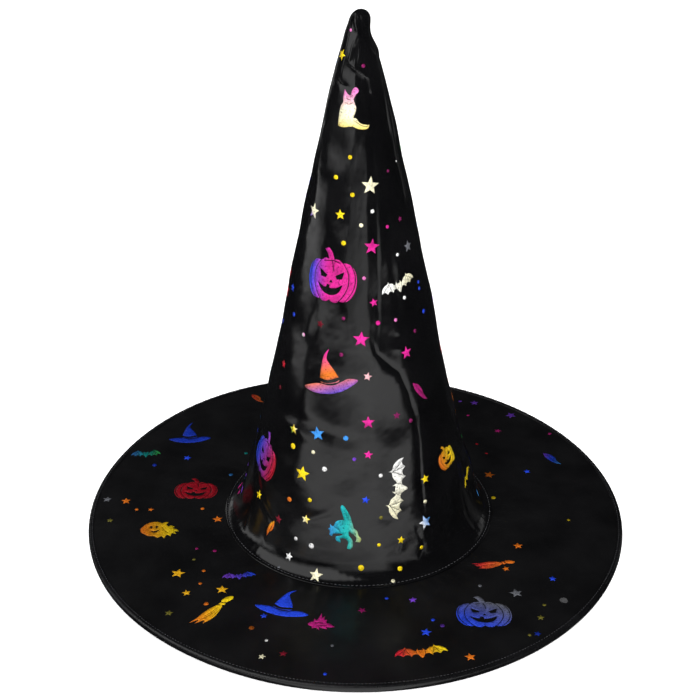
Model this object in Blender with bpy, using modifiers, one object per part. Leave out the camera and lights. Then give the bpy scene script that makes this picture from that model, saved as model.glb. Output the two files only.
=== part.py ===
"""A sewn witch hat: a tall blunt cone on a wide flat brim with a bound edge.

Metres, +Z up. The origin is the middle of the hat at the level of the surface it rests on,
so the brim lies at Z = 0 and the tip points up. -Y is the front.
"""

import math

import bmesh
import bpy

# ---------------------------------------------------------------- driving sizes (metres)
BRIM_RADIUS = 0.190          # overall, over the edge binding
HAT_HEIGHT = 0.362           # brim underside to tip
HEAD_OPENING_RADIUS = 0.0872 # hole in the brim, about 55 cm round
CROWN_HEM_RADIUS = 0.0958    # where the turned-out crown hem ends on the brim

GAP = 0.0003                 # air between neighbouring layers
SATIN = 0.0005               # cover cloth
INTERLINING = 0.0010         # stiff non-woven behind the crown cloth
STIFFENER = 0.0020           # felt board inside the brim
BINDING = 0.0006             # folded edge tape
BINDING_WIDTH = 0.0035       # how far the tape reaches in over the brim
BAND = 0.0006                # ribbon round the head opening
THREAD = 0.0003              # radius of a line of stitching
THREAD_LIFT = 0.00015        # air under a line of stitching

SEAM_AZIMUTH = math.radians(-25.0)  # the crown's upright seam, to the right of the front
SEAM_TAPE_WIDTH = 0.006
SEAM_TAPE = 0.0005

STEPS = 64                   # segments round the hat

# Outside of the cone from the tip down to where it starts to flare: (height, radius).
CONE = [
    (HAT_HEIGHT - 0.0012, 0.0042),
    (0.3560, 0.0064),
    (0.3450, 0.0093),
    (0.3300, 0.0135),
    (0.3000, 0.0209),
    (0.2500, 0.0323),
    (0.2000, 0.0427),
    (0.1500, 0.0529),
    (0.1000, 0.0634),
    (0.0600, 0.0726),
    (0.0200, 0.0820),
]

# ---------------------------------------------------------------- brim stack, heights
UNDER_Z = BINDING + GAP
STIFF_Z = UNDER_Z + SATIN + GAP
TOP_Z = STIFF_Z + STIFFENER + GAP
TOP_FACE = TOP_Z + SATIN
BINDING_TOP = TOP_FACE + GAP + BINDING
BRIM_LAYER_RADIUS = BRIM_RADIUS - BINDING - GAP
HEM_Z = TOP_FACE + GAP


def clear():
    for obj in list(bpy.data.objects):
        bpy.data.objects.remove(obj, do_unlink=True)


def material(name, rgb, roughness, metallic=0.0):
    mat = bpy.data.materials.new(name)
    mat.use_nodes = True
    shader = mat.node_tree.nodes["Principled BSDF"]
    shader.inputs["Base Color"].default_value = (*rgb, 1.0)
    shader.inputs["Roughness"].default_value = roughness
    shader.inputs["Metallic"].default_value = metallic
    mat.diffuse_color = (*rgb, 1.0)
    return mat


def place(name, mesh, mat, smooth=True):
    obj = bpy.data.objects.new(name, mesh)
    HAT.objects.link(obj)
    mesh.materials.append(mat)
    for polygon in mesh.polygons:
        polygon.use_smooth = smooth
    return obj


def lathe(name, profile, mat, closed=True):
    """Turn a profile of (radius, height) points about Z. An open profile starts and ends on the axis."""
    verts = [(r, 0.0, z) for r, z in profile]
    edges = [(i, i + 1) for i in range(len(verts) - 1)]
    if closed:
        edges.append((len(verts) - 1, 0))
    mesh = bpy.data.meshes.new(name)
    mesh.from_pydata(verts, edges, [])
    obj = place(name, mesh, mat)
    screw = obj.modifiers.new("Turn", "SCREW")
    screw.axis = "Z"
    screw.angle = 2.0 * math.pi
    screw.steps = STEPS
    screw.render_steps = STEPS
    screw.use_merge_vertices = True
    screw.merge_threshold = 0.00001
    screw.use_smooth_shade = True
    return obj


def thread_ring(name, radius, height, mat, sides=5):
    """One closed run of stitching lying on a level face."""
    profile = [
        (
            radius + THREAD * math.cos(2.0 * math.pi * i / sides),
            height - THREAD * math.sin(2.0 * math.pi * i / sides),
        )
        for i in range(sides)
    ]
    return lathe(name, profile, mat)


def loft_strip(name, stations, width, thick, azimuth, mat):
    """A flat strip through stations of (outer face radius, height), standing at one azimuth."""
    mesh = bpy.data.meshes.new(name)
    bm = bmesh.new()
    cos_a, sin_a = math.cos(azimuth), math.sin(azimuth)
    rows = []
    for radius, height in stations:
        row = []
        for along, across in (
            (radius, -0.5 * width),
            (radius, 0.5 * width),
            (radius - thick, 0.5 * width),
            (radius - thick, -0.5 * width),
        ):
            row.append(
                bm.verts.new(
                    (
                        along * cos_a - across * sin_a,
                        along * sin_a + across * cos_a,
                        height,
                    )
                )
            )
        rows.append(row)
    for low, high in zip(rows[:-1], rows[1:]):
        for i in range(4):
            j = (i + 1) % 4
            bm.faces.new((low[i], low[j], high[j], high[i]))
    bm.faces.new(rows[0][::-1])
    bm.faces.new(rows[-1])
    bmesh.ops.recalc_face_normals(bm, faces=bm.faces)
    bm.to_mesh(mesh)
    bm.free()
    return place(name, mesh, mat, smooth=False)


def cone_radius(height):
    """Outside radius of the cone at a height."""
    points = sorted(CONE)
    if height <= points[0][0]:
        (z0, r0), (z1, r1) = points[0], points[1]
        return r0 + (r1 - r0) * (height - z0) / (z1 - z0)
    for (z0, r0), (z1, r1) in zip(points[:-1], points[1:]):
        if height <= z1:
            return r0 + (r1 - r0) * (height - z0) / (z1 - z0)
    return points[-1][1]


clear()
HAT = bpy.data.collections.new("witch_hat")
bpy.context.scene.collection.children.link(HAT)

SATIN_BLACK = (0.010, 0.010, 0.011)
satin_crown = material("black_satin_crown", SATIN_BLACK, 0.25)
satin_brim = material("black_satin_brim", SATIN_BLACK, 0.30)
satin_under = material("black_satin_underside", (0.012, 0.012, 0.013), 0.35)
satin_tape = material("black_binding_tape", (0.014, 0.014, 0.015), 0.35)
nonwoven = material("nonwoven_interlining", (0.035, 0.035, 0.037), 0.9)
felt_board = material("felt_board", (0.05, 0.05, 0.052), 0.95)
ribbon = material("grosgrain_ribbon", (0.012, 0.012, 0.014), 0.6)
seam_cloth = material("seam_tape_cloth", (0.016, 0.016, 0.017), 0.6)
yarn_crown = material("crown_base_thread", (0.05, 0.05, 0.055), 0.5)
yarn_edge = material("brim_edge_thread", (0.03, 0.03, 0.033), 0.5)
yarn_band = material("sweatband_thread", (0.03, 0.03, 0.033), 0.5)
yarn_seam = material("crown_seam_thread_yarn", (0.03, 0.03, 0.033), 0.5)

# ---------------------------------------------------------------- crown
# Cover: tip, cone, then the hem that flares out and lies on the brim, and back up the inside.
outer = [(0.0, HAT_HEIGHT)] + [(r, z) for z, r in CONE]
outer += [
    (0.0842, 0.0128),
    (0.0878, 0.0084),
    (0.0918, 0.0060),
    (CROWN_HEM_RADIUS, HEM_Z + SATIN),
]
inner = [
    (CROWN_HEM_RADIUS, HEM_Z),
    (0.0915, HEM_Z + 0.0004),
    (0.0873, 0.0079),
    (0.0837, 0.0124),
]
inner += [(r - SATIN, z) for z, r in reversed(CONE[1:])]
inner += [(0.0, 0.3572)]
lathe("crown_cover", outer + inner, satin_crown, closed=False)

# Interlining: the same cone one layer in, straight down through the brim's hole.
step_in = SATIN + GAP
lining_z = [0.3450, 0.3300, 0.3000, 0.2500, 0.2000, 0.1500, 0.1000, 0.0600, 0.0200, 0.0015]
outer = [(0.0, 0.3500), (0.0052, 0.3492)]
outer += [(cone_radius(z) - step_in, z) for z in lining_z]
inner = [(cone_radius(z) - step_in - INTERLINING, z) for z in reversed(lining_z[1:])]
inner += [(0.0, 0.3440)]
lathe("crown_interlining", outer + inner, nonwoven, closed=False)

# Seam tape inside the cone, over the upright seam, and the line of stitching that holds it.
tape_z = [0.0340, 0.0600, 0.1000, 0.1500, 0.2000, 0.2500, 0.2950]
sagitta = 0.0005
tape_in = step_in + INTERLINING + GAP + sagitta
stations = [(cone_radius(z) - tape_in, z) for z in tape_z]
loft_strip(
    "crown_seam_tape", stations, SEAM_TAPE_WIDTH, SEAM_TAPE, SEAM_AZIMUTH, seam_cloth
)
stations = [
    (cone_radius(z) - tape_in - SEAM_TAPE - THREAD_LIFT, z)
    for z in [0.0360] + tape_z[1:-1] + [0.2930]
]
loft_strip(
    "crown_seam_thread", stations, 2 * THREAD, 2 * THREAD, SEAM_AZIMUTH, yarn_seam
)

# ---------------------------------------------------------------- brim
def washer(name, inner_radius, outer_radius, bottom, thick, mat):
    return lathe(
        name,
        [
            (inner_radius, bottom + thick),
            (outer_radius, bottom + thick),
            (outer_radius, bottom),
            (inner_radius, bottom),
        ],
        mat,
    )


washer("brim_under_cover", HEAD_OPENING_RADIUS, BRIM_LAYER_RADIUS, UNDER_Z, SATIN, satin_under)
washer("brim_stiffener", HEAD_OPENING_RADIUS, BRIM_LAYER_RADIUS, STIFF_Z, STIFFENER, felt_board)
washer("brim_top_cover", HEAD_OPENING_RADIUS, BRIM_LAYER_RADIUS, TOP_Z, SATIN, satin_brim)

# Binding: tape folded round the edge of all three layers; its lower leg is what the hat rests on.
leg = BRIM_RADIUS - BINDING_WIDTH
lathe(
    "brim_edge_binding",
    [
        (leg, BINDING_TOP),
        (BRIM_RADIUS - 0.0007, BINDING_TOP),
        (BRIM_RADIUS, BINDING_TOP - 0.0009),
        (BRIM_RADIUS, 0.0009),
        (BRIM_RADIUS - 0.0007, 0.0),
        (leg, 0.0),
        (leg, BINDING),
        (BRIM_RADIUS - BINDING, BINDING),
        (BRIM_RADIUS - BINDING, BINDING_TOP - BINDING),
        (leg, BINDING_TOP - BINDING),
    ],
    satin_tape,
)

# ---------------------------------------------------------------- sweatband
band_in = step_in + INTERLINING + GAP
band_outer = [(cone_radius(z) - band_in, z) for z in (0.0265, 0.0200, 0.0015)]
band_inner = [(r - BAND, z) for r, z in reversed(band_outer)]
lathe("sweatband", band_outer + band_inner, ribbon)

# ---------------------------------------------------------------- stitching
thread_ring(
    "crown_base_stitching",
    CROWN_HEM_RADIUS - 0.0012,
    HEM_Z + SATIN + 0.00028 + THREAD_LIFT + THREAD,
    yarn_crown,
)
thread_ring(
    "brim_edge_stitching",
    leg + 0.0007,
    BINDING_TOP + THREAD_LIFT + THREAD,
    yarn_edge,
)
BAND_STITCH_Z = 0.0042
thread_ring(
    "sweatband_stitching",
    cone_radius(BAND_STITCH_Z) - band_in - BAND - THREAD_LIFT - THREAD - 0.0001,
    BAND_STITCH_Z,
    yarn_band,
)
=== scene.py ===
import math

import bmesh
import bpy
import numpy as np
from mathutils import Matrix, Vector
from mathutils.geometry import delaunay_2d_cdt


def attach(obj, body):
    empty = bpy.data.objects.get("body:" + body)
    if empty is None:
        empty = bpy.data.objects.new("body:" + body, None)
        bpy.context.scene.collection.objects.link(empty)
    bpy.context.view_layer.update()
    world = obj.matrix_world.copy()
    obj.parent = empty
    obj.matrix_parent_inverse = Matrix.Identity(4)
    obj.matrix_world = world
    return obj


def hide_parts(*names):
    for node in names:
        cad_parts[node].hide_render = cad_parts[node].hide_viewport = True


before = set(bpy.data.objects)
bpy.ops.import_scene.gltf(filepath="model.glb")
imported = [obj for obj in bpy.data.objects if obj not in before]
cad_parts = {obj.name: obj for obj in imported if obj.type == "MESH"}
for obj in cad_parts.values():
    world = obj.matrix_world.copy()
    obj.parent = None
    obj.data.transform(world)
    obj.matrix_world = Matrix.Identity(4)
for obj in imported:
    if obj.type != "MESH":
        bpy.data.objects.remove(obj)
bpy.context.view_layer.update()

RNG = np.random.default_rng(11)
MM = 0.001


# =====================================================================================
# Camera
# =====================================================================================
cam_data = bpy.data.cameras.new("camera")
cam = bpy.data.objects.new("camera", cam_data)
bpy.context.scene.collection.objects.link(cam)
cam.location = (-0.0039, -0.7931, 0.5573)
aim = Vector((-0.0039, 0.0, 0.1319))
cam.rotation_euler = (aim - cam.location).to_track_quat("-Z", "Y").to_euler()
cam_data.sensor_width = 36.0
cam_data.lens = 68.4
cam_data.clip_start = 0.02
cam_data.clip_end = 60.0
bpy.context.scene.camera = cam
bpy.context.scene.view_settings.view_transform = "Standard"
bpy.context.scene.view_settings.look = "None"


# =====================================================================================
# Helpers
# =====================================================================================
def link(obj):
    bpy.context.scene.collection.objects.link(obj)
    return obj


def smooth01(t):
    t = np.clip(t, 0.0, 1.0)
    return t * t * (3.0 - 2.0 * t)


def mesh_object(name, verts, faces, mat, smooth=True, colours=None):
    """verts (n,3) in metres; faces a list of index tuples or an (m,4)/(m,3) array."""
    mesh = bpy.data.meshes.new(name)
    verts = np.asarray(verts, dtype=np.float64)
    if isinstance(faces, np.ndarray):
        k = faces.shape[1]
        mesh.vertices.add(len(verts))
        mesh.vertices.foreach_set("co", verts.astype(np.float32).ravel())
        mesh.loops.add(faces.size)
        mesh.loops.foreach_set("vertex_index", faces.astype(np.int32).ravel())
        mesh.polygons.add(len(faces))
        mesh.polygons.foreach_set("loop_start", np.arange(0, faces.size, k, dtype=np.int32))
        mesh.update(calc_edges=True)
        mesh.validate()
    else:
        mesh.from_pydata(verts.tolist(), [], [tuple(f) for f in faces])
        mesh.update()
    if smooth:
        mesh.polygons.foreach_set("use_smooth", np.ones(len(mesh.polygons), dtype=bool))
    if colours is not None:
        layer = mesh.color_attributes.new("print_colour", "FLOAT_COLOR", "POINT")
        rgba = np.ones((len(verts), 4), dtype=np.float32)
        rgba[:, :3] = colours
        layer.data.foreach_set("color", rgba.ravel())
        mesh.color_attributes.active_color = layer
        mesh.color_attributes.render_color_index = 0
    mesh.materials.append(mat)
    obj = link(bpy.data.objects.new(name, mesh))
    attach(obj, "root")
    return obj


def grid_faces(rows, cols, wrap=True):
    """Quads of a rows x cols grid (row-major), wrapping round the columns; faces out for
    columns that run to the right and rows that run up."""
    r = np.arange(rows - 1)[:, None]
    c = np.arange(cols if wrap else cols - 1)[None, :]
    c2 = (c + 1) % cols
    a = r * cols + c
    b = r * cols + c2
    d = (r + 1) * cols + c
    e = (r + 1) * cols + c2
    return np.stack([a, b, e, d], axis=-1).reshape(-1, 4)


def srgb(r, g, b):
    """0-255 screen colour to linear."""
    out = []
    for v in (r, g, b):
        v = v / 255.0
        out.append(v / 12.92 if v <= 0.04045 else ((v + 0.055) / 1.055) ** 2.4)
    return tuple(out)


# =====================================================================================
# The shape of the sewn hat: one function for the crown and one for the brim.
# Angles a are degrees from the front (-Y) towards the right (+X); s is the way up the
# crown's side in mm from the edge of its hem; x and y on the brim are in mm.
# =====================================================================================
MERIDIAN = np.array([
    (95.6, 5.4), (93.6, 5.9), (91.4, 7.2), (89.2, 9.4), (87.2, 12.4), (85.4, 16.2),
    (83.9, 20.5), (82.1, 26.5), (77.9, 42.0), (72.5, 64.0), (63.6, 100.0), (53.1, 150.0),
    (43.0, 200.0), (32.6, 250.0), (21.1, 300.0), (13.6, 330.0), (9.4, 345.0),
    (7.4, 353.0), (6.0, 357.6), (4.2, 360.4), (2.1, 361.7), (0.0, 362.0),
])


def hermite(points, per=40):
    """A smooth curve through the points, as a dense polyline."""
    p = np.asarray(points, dtype=float)
    d = np.hypot(*np.diff(p, axis=0).T)
    k = np.concatenate([[0.0], np.cumsum(d)])
    slope = np.diff(p, axis=0) / d[:, None]
    m = np.empty_like(p)
    m[0], m[-1] = slope[0], slope[-1]
    w = d[:-1] / (d[:-1] + d[1:])
    m[1:-1] = slope[:-1] * (1 - w)[:, None] + slope[1:] * w[:, None]
    out = []
    for i in range(len(p) - 1):
        t = np.linspace(0, 1, per, endpoint=False)[:, None]
        h = d[i]
        out.append(
            (2 * t**3 - 3 * t**2 + 1) * p[i]
            + (t**3 - 2 * t**2 + t) * h * m[i]
            + (-2 * t**3 + 3 * t**2) * p[i + 1]
            + (t**3 - t**2) * h * m[i + 1]
        )
    out.append(p[-1:])
    return np.concatenate(out)


_dense = hermite(MERIDIAN)
_ds = np.hypot(*np.diff(_dense, axis=0).T)
S_TAB = np.concatenate([[0.0], np.cumsum(_ds)])
R_TAB, Z_TAB = _dense[:, 0], _dense[:, 1]
_t = np.gradient(_dense, S_TAB, axis=0)
_t /= np.hypot(*_t.T)[:, None]
NR_TAB, NZ_TAB = _t[:, 1], -_t[:, 0]
S_TOP = float(S_TAB[-1])


def radius_at(s):
    return np.interp(s, S_TAB, R_TAB)


def axis_x(z):
    """The cone leans a hair to the left as it rises."""
    return 2.4 - 0.0029 * z * 1.0


# Folds: (points (a, s), width mm, height mm, kind, fade at the ends mm)
# kind "soft" is a rounded ridge or trough, "crease" a sharp one.
FOLDS = [
    # long trough down the front, right of the middle, and the weaker one beside it
    ([(20, 300), (18, 258), (16, 220), (14, 182), (11, 163)], 2.6, -0.55, "soft", 26),
    ([(8, 300), (7, 250), (6, 215), (5, 180)], 3.5, 0.35, "soft", 30),
    ([(36, 288), (31, 257), (30, 225), (33, 192), (33, 166)], 3.0, -0.45, "soft", 22),
    # kink where the interlining has buckled, running down to the right
    ([(9, 170), (12, 160), (19, 153), (28, 145), (34, 128), (37, 109)], 2.2, -0.85, "crease", 14),
    ([(3, 176), (9, 163), (17, 146), (24, 136)], 5.0, 0.75, "soft", 20),
    ([(37, 120), (37, 96), (35, 70), (34, 42)], 2.4, -0.6, "crease", 18),
    ([(22, 163), (30, 160), (38, 158)], 2.2, 0.5, "soft", 14),
    ([(25, 170), (32, 166)], 2.0, -0.4, "soft", 8),
    # edge of the big flat panel at its upper left
    ([(-76, 101), (-60, 108), (-48, 113), (-26, 108), (-8, 103), (4, 100)], 5.0, -0.5, "soft", 18),
    ([(-55, 104), (-40, 102), (-28, 98)], 4.0, 0.4, "soft", 12),
    # dents in the lower panel
    ([(-28, 100), (-27, 78), (-32, 63), (-42, 51)], 4.5, -0.25, "soft", 14),
    ([(4, 133), (4, 102), (3, 76)], 2.0, -0.22, "crease", 18),
    ([(-10, 60), (-15, 51), (-30, 41)], 3.0, -0.4, "soft", 10),
    ([(3, 52), (14, 47), (27, 50)], 4.0, -0.28, "soft", 12),
    # long fold low on the right, beside the upright seam
    ([(62, 131), (58, 114), (61, 90), (73, 58), (76, 26)], 2.0, -1.1, "crease", 10),
    ([(71, 128), (67, 108), (72, 84), (86, 52), (88, 24)], 6.0, 2.3, "soft", 22),
    ([(54, 118), (55, 98), (59, 83), (63, 67), (65, 41)], 2.6, 0.9, "soft", 12),
    ([(48, 112), (48, 90), (50, 60), (52, 36)], 3.6, -0.8, "soft", 16),
    # left side
    ([(-36, 190), (-48, 161), (-55, 123), (-66, 94)], 4.5, 0.35, "soft", 26),
    ([(-77, 84), (-70, 53), (-57, 39), (-41, 27)], 4.0, -0.7, "soft", 14),
    ([(-85, 110), (-80, 84), (-79, 60)], 5.0, 1.3, "soft", 14),
    # gathers at the foot
    ([(22, 31), (19, 22), (20, 9)], 1.8, -0.5, "crease", 6),
    ([(28, 37), (31, 23), (27, 9)], 1.8, -0.45, "crease", 6),
    ([(-52, 26), (-49, 12)], 2.2, -0.4, "soft", 6),
    ([(-66, 24), (-64, 8)], 2.2, 0.5, "soft", 6),
    ([(44, 30), (47, 10)], 2.5, -0.5, "soft", 7),
    ([(60, 28), (64, 8)], 2.5, 0.7, "soft", 7),
    # tip
    ([(-18, 373), (-22, 366), (-4, 358), (-22, 350), (-27, 341), (2, 336), (24, 332), (25, 322)], 1.7, 0.85, "crease", 4),
    ([(-60, 330), (-40, 327), (-18, 326)], 1.6, -0.45, "crease", 5),
    ([(40, 352), (60, 345), (90, 340), (120, 344)], 1.6, -0.5, "crease", 6),
    ([(20, 332), (23, 318), (24, 300)], 1.5, -0.3, "soft", 8),
    # the back and the far sides
    ([(120, 250), (126, 200), (122, 150), (128, 100)], 4.0, -0.55, "soft", 30),
    ([(150, 170), (164, 140), (180, 132), (198, 140)], 3.2, -0.7, "crease", 16),
    ([(150, 180), (165, 152), (182, 146)], 6.0, 0.6, "soft", 20),
    ([(175, 290), (176, 240), (172, 190)], 3.5, 0.4, "soft", 28),
    ([(205, 110), (212, 80), (206, 48)], 3.0, -0.6, "crease", 14),
    ([(228, 220), (236, 180), (232, 130)], 4.5, -0.5, "soft", 26),
    ([(140, 70), (150, 52), (170, 44)], 3.5, -0.5, "soft", 12),
    ([(105, 60), (108, 36), (112, 16)], 3.0, 0.7, "soft", 12),
    ([(185, 34), (188, 10)], 2.4, -0.5, "soft", 7),
    ([(238, 40), (242, 12)], 2.6, -0.5, "soft", 8),
    ([(262, 60), (258, 30)], 3.0, 0.6, "soft", 10),
]


def fold_height(a, s, points, width, height, kind, fade):
    rad = radius_at(s)
    best = np.full(np.shape(a), 1e9)
    along = np.zeros(np.shape(a))
    lens = []
    for (a0, s0), (a1, s1) in zip(points[:-1], points[1:]):
        r = 0.5 * float(radius_at(s0) + radius_at(s1))
        lens.append(math.hypot(math.radians(a1 - a0) * r, s1 - s0))
    total = sum(lens)
    done = 0.0
    for ((a0, s0), (a1, s1)), length in zip(zip(points[:-1], points[1:]), lens):
        ux = np.radians((a - a0 + 180.0) % 360.0 - 180.0) * rad
        uy = s - s0
        vx = np.radians(a1 - a0) * rad
        vy = s1 - s0
        t = np.clip((ux * vx + uy * vy) / np.maximum(vx * vx + vy * vy, 1e-6), 0, 1)
        d = np.hypot(ux - t * vx, uy - t * vy)
        near = d < best
        best = np.where(near, d, best)
        along = np.where(near, done + t * length, along)
        done += length
    ends = smooth01(np.minimum(along, total - along) / fade + 0.25)
    if kind == "crease":
        shape = np.exp(-(np.sqrt(best**2 + 0.35**2) - 0.35) / (0.62 * width))
    else:
        shape = np.exp(-((best / width) ** 2))
    return height * ends * shape


def ripple(a, s, seed, count, wave_mm, spread):
    """Smooth seeded unevenness, periodic round the crown, about +-1."""
    rng = np.random.default_rng(seed)
    out = np.zeros(np.shape(a))
    ar = np.radians(a)
    for _ in range(count):
        k = 2 * math.pi / (wave_mm * rng.uniform(1 - spread, 1 + spread))
        direction = rng.uniform(0, 2 * math.pi)
        n = round(k * math.cos(direction) * 60.0)
        out += np.sin(n * ar + k * math.sin(direction) * s + rng.uniform(0, 2 * math.pi))
    return out / math.sqrt(count)


def crown_disp(a, s):
    """How far the cloth stands out from the plain cone, mm."""
    a = np.asarray(a, dtype=float)
    s = np.asarray(s, dtype=float)
    a, s = np.broadcast_arrays(a, s)
    d = np.zeros(a.shape)
    for fold in FOLDS:
        d += fold_height(a, s, *fold)
    taper = smooth01((S_TOP - s) / 120.0)
    foot = smooth01((s - 4.0) / 26.0)
    ar = np.radians(a)
    d += 0.55 * taper * foot * np.cos(2 * ar + 0.6)
    d += 0.42 * taper * foot * ripple(a, s, 3, 9, 58.0, 0.35)
    d += 0.10 * (0.35 + 0.65 * taper) * foot * ripple(a, s, 5, 12, 21.0, 0.4)
    d += 0.016 * foot * ripple(a, s, 9, 14, 6.5, 0.35)
    # the cloth's upright seam
    seam = np.abs((a - 65.0 + 180.0) % 360.0 - 180.0) * math.pi / 180.0 * radius_at(s)
    d -= 0.35 * np.exp(-((seam / 0.7) ** 2)) * smooth01((s - 10) / 20.0)
    # flattened stub at the very tip: pinched in on its right, standing proud on the shoulder
    side = np.cos(np.radians(a - 88.0))
    d -= 1.3 * np.exp(-(((s - 356.5) / 5.5) ** 2)) * smooth01(side)
    d += 1.1 * np.exp(-(((s - 367.5) / 4.5) ** 2)) * smooth01(side)
    d -= 0.7 * smooth01((s - 354.0) / 10.0) * smooth01(-side)
    d += 0.6 * np.exp(-(((s - 345.0) / 4.0) ** 2)) * smooth01(side)
    # the shoulder of the big front panel, left of the middle: full below, drawn in above
    turned = (a + 180.0) % 360.0 - 180.0
    hip_s = 104.0 + 8.0 * np.exp(-(((turned + 45.0) / 30.0) ** 2))
    hip_a = np.exp(-(((turned + 34.0) / 27.0) ** 2))
    above = 1.0 - smooth01((s - hip_s) / 40.0)
    below = smooth01((s - hip_s + 80.0) / 80.0)
    d += 1.9 * hip_a * np.where(s > hip_s, above, below)
    # tiny gathers pulled up by the stitching of the hem
    d += 0.035 * np.exp(-(((s - 7.0) / 5.0) ** 2)) * np.sin(ar * 97 + 1.7 * np.sin(ar * 9))
    return d


def crown_point(a, s, lift=0.0):
    """(a deg, s mm) -> metres; lift in mm."""
    a, s = np.broadcast_arrays(np.asarray(a, float), np.asarray(s, float))
    r = np.interp(s, S_TAB, R_TAB)
    z = np.interp(s, S_TAB, Z_TAB)
    nr = np.interp(s, S_TAB, NR_TAB)
    nz = np.interp(s, S_TAB, NZ_TAB)
    off = crown_disp(a, s) * np.clip(r / 3.0, 0, 1) + lift
    ar = np.radians(a)
    rr = r + nr * off
    zz = z + nz * off
    return np.stack([axis_x(z) + rr * np.sin(ar), -rr * np.cos(ar), zz], axis=-1) * MM


def brim_wave(x, y):
    """Height of the brim above lying flat, mm, never below 0."""
    r = np.hypot(x, y)
    out = smooth01((r - 100.0) / 75.0)
    th = np.arctan2(y, x)
    left = np.clip(-x / 190.0, 0, 1)
    back = np.clip((y + 190.0) / 380.0, 0, 1)
    w = 1.7 * left**1.2 * (0.25 + 0.75 * back)
    w += 1.5 * np.exp(-(((th - math.radians(128.0)) / math.radians(26.0)) ** 2)) * smooth01((r - 110) / 80.0)
    w += 1.5 * np.exp(-(((th - math.radians(-122.0)) / math.radians(20.0)) ** 2))
    w += 0.2 * (0.5 + 0.5 * np.sin(3 * th + 0.8)) + 0.2 * (0.5 + 0.5 * np.sin(5 * th + 2.4))
    return w * out


def brim_fine(x, y):
    """Small unevenness of the top cloth, mm."""
    r = np.hypot(x, y)
    rng = np.random.default_rng(21)
    d = np.zeros(np.shape(x))
    for wave, amp, count in ((46.0, 0.26, 8), (20.0, 0.10, 12), (9.0, 0.022, 12)):
        part = np.zeros(np.shape(x))
        for _ in range(count):
            k = 2 * math.pi / (wave * rng.uniform(0.65, 1.35))
            q = rng.uniform(0, 2 * math.pi)
            part += np.sin(k * (math.cos(q) * x + math.sin(q) * y) + rng.uniform(0, 2 * math.pi))
        d += amp * part / math.sqrt(count)
    # short pulls running out from the foot of the crown
    th = np.arctan2(y, x)
    d += 0.22 * np.exp(-((np.clip(r - 97.0, 0, None) / 13.0) ** 2)) * np.sin(th * 61 + 2.0 * np.sin(th * 7))
    # the cloth is drawn down to the bound edge
    d += 0.10 * np.exp(-(((r - 183.0) / 4.0) ** 2)) * np.sin(th * 173 + 1.5 * np.sin(th * 11))
    return d * smooth01((r - 92.0) / 14.0) * smooth01((189.5 - r) / 5.0)


BRIM_TOP = 4.62


def brim_point(x, y, lift=0.0):
    x, y = np.broadcast_arrays(np.asarray(x, float), np.asarray(y, float))
    z = BRIM_TOP + brim_wave(x, y) + brim_fine(x, y) + lift
    return np.stack([x, y, z], axis=-1) * MM


# =====================================================================================
# Materials
# =====================================================================================
class Nodes:
    def __init__(self, name):
        self.mat = bpy.data.materials.new(name)
        self.mat.use_nodes = True
        self.tree = self.mat.node_tree
        self.shader = self.tree.nodes["Principled BSDF"]

    def add(self, kind, **settings):
        node = self.tree.nodes.new(kind)
        for key, value in settings.items():
            if hasattr(node, key):
                setattr(node, key, value)
            else:
                node.inputs[key.replace("_", " ")].default_value = value
        return node

    def wire(self, a, out, b, into):
        self.tree.links.new(a.outputs[out], b.inputs[into])

    def object_coords(self):
        return self.add("ShaderNodeTexCoord")

    def noise(self, scale, detail=2.0, roughness=0.5, stretch=None):
        coords = self.object_coords()
        node = self.add("ShaderNodeTexNoise")
        node.inputs["Scale"].default_value = scale
        node.inputs["Detail"].default_value = detail
        node.inputs["Roughness"].default_value = roughness
        if stretch:
            mapping = self.add("ShaderNodeMapping")
            mapping.inputs["Scale"].default_value = stretch
            self.wire(coords, "Object", mapping, "Vector")
            self.wire(mapping, "Vector", node, "Vector")
        else:
            self.wire(coords, "Object", node, "Vector")
        return node

    def ramp(self, source, out, stops):
        node = self.add("ShaderNodeValToRGB")
        ramp = node.color_ramp
        while len(ramp.elements) > 1:
            ramp.elements.remove(ramp.elements[-1])
        for i, (pos, colour) in enumerate(stops):
            element = ramp.elements[0] if i == 0 else ramp.elements.new(pos)
            element.position = pos
            element.color = (*colour, 1.0) if len(colour) == 3 else colour
        self.wire(source, out, node, "Fac")
        return node

    def remap(self, source, out, low, high, from_low=0.3, from_high=0.7):
        node = self.add("ShaderNodeMapRange")
        node.inputs["From Min"].default_value = from_low
        node.inputs["From Max"].default_value = from_high
        node.inputs["To Min"].default_value = low
        node.inputs["To Max"].default_value = high
        self.wire(source, out, node, "Value")
        return node


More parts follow.
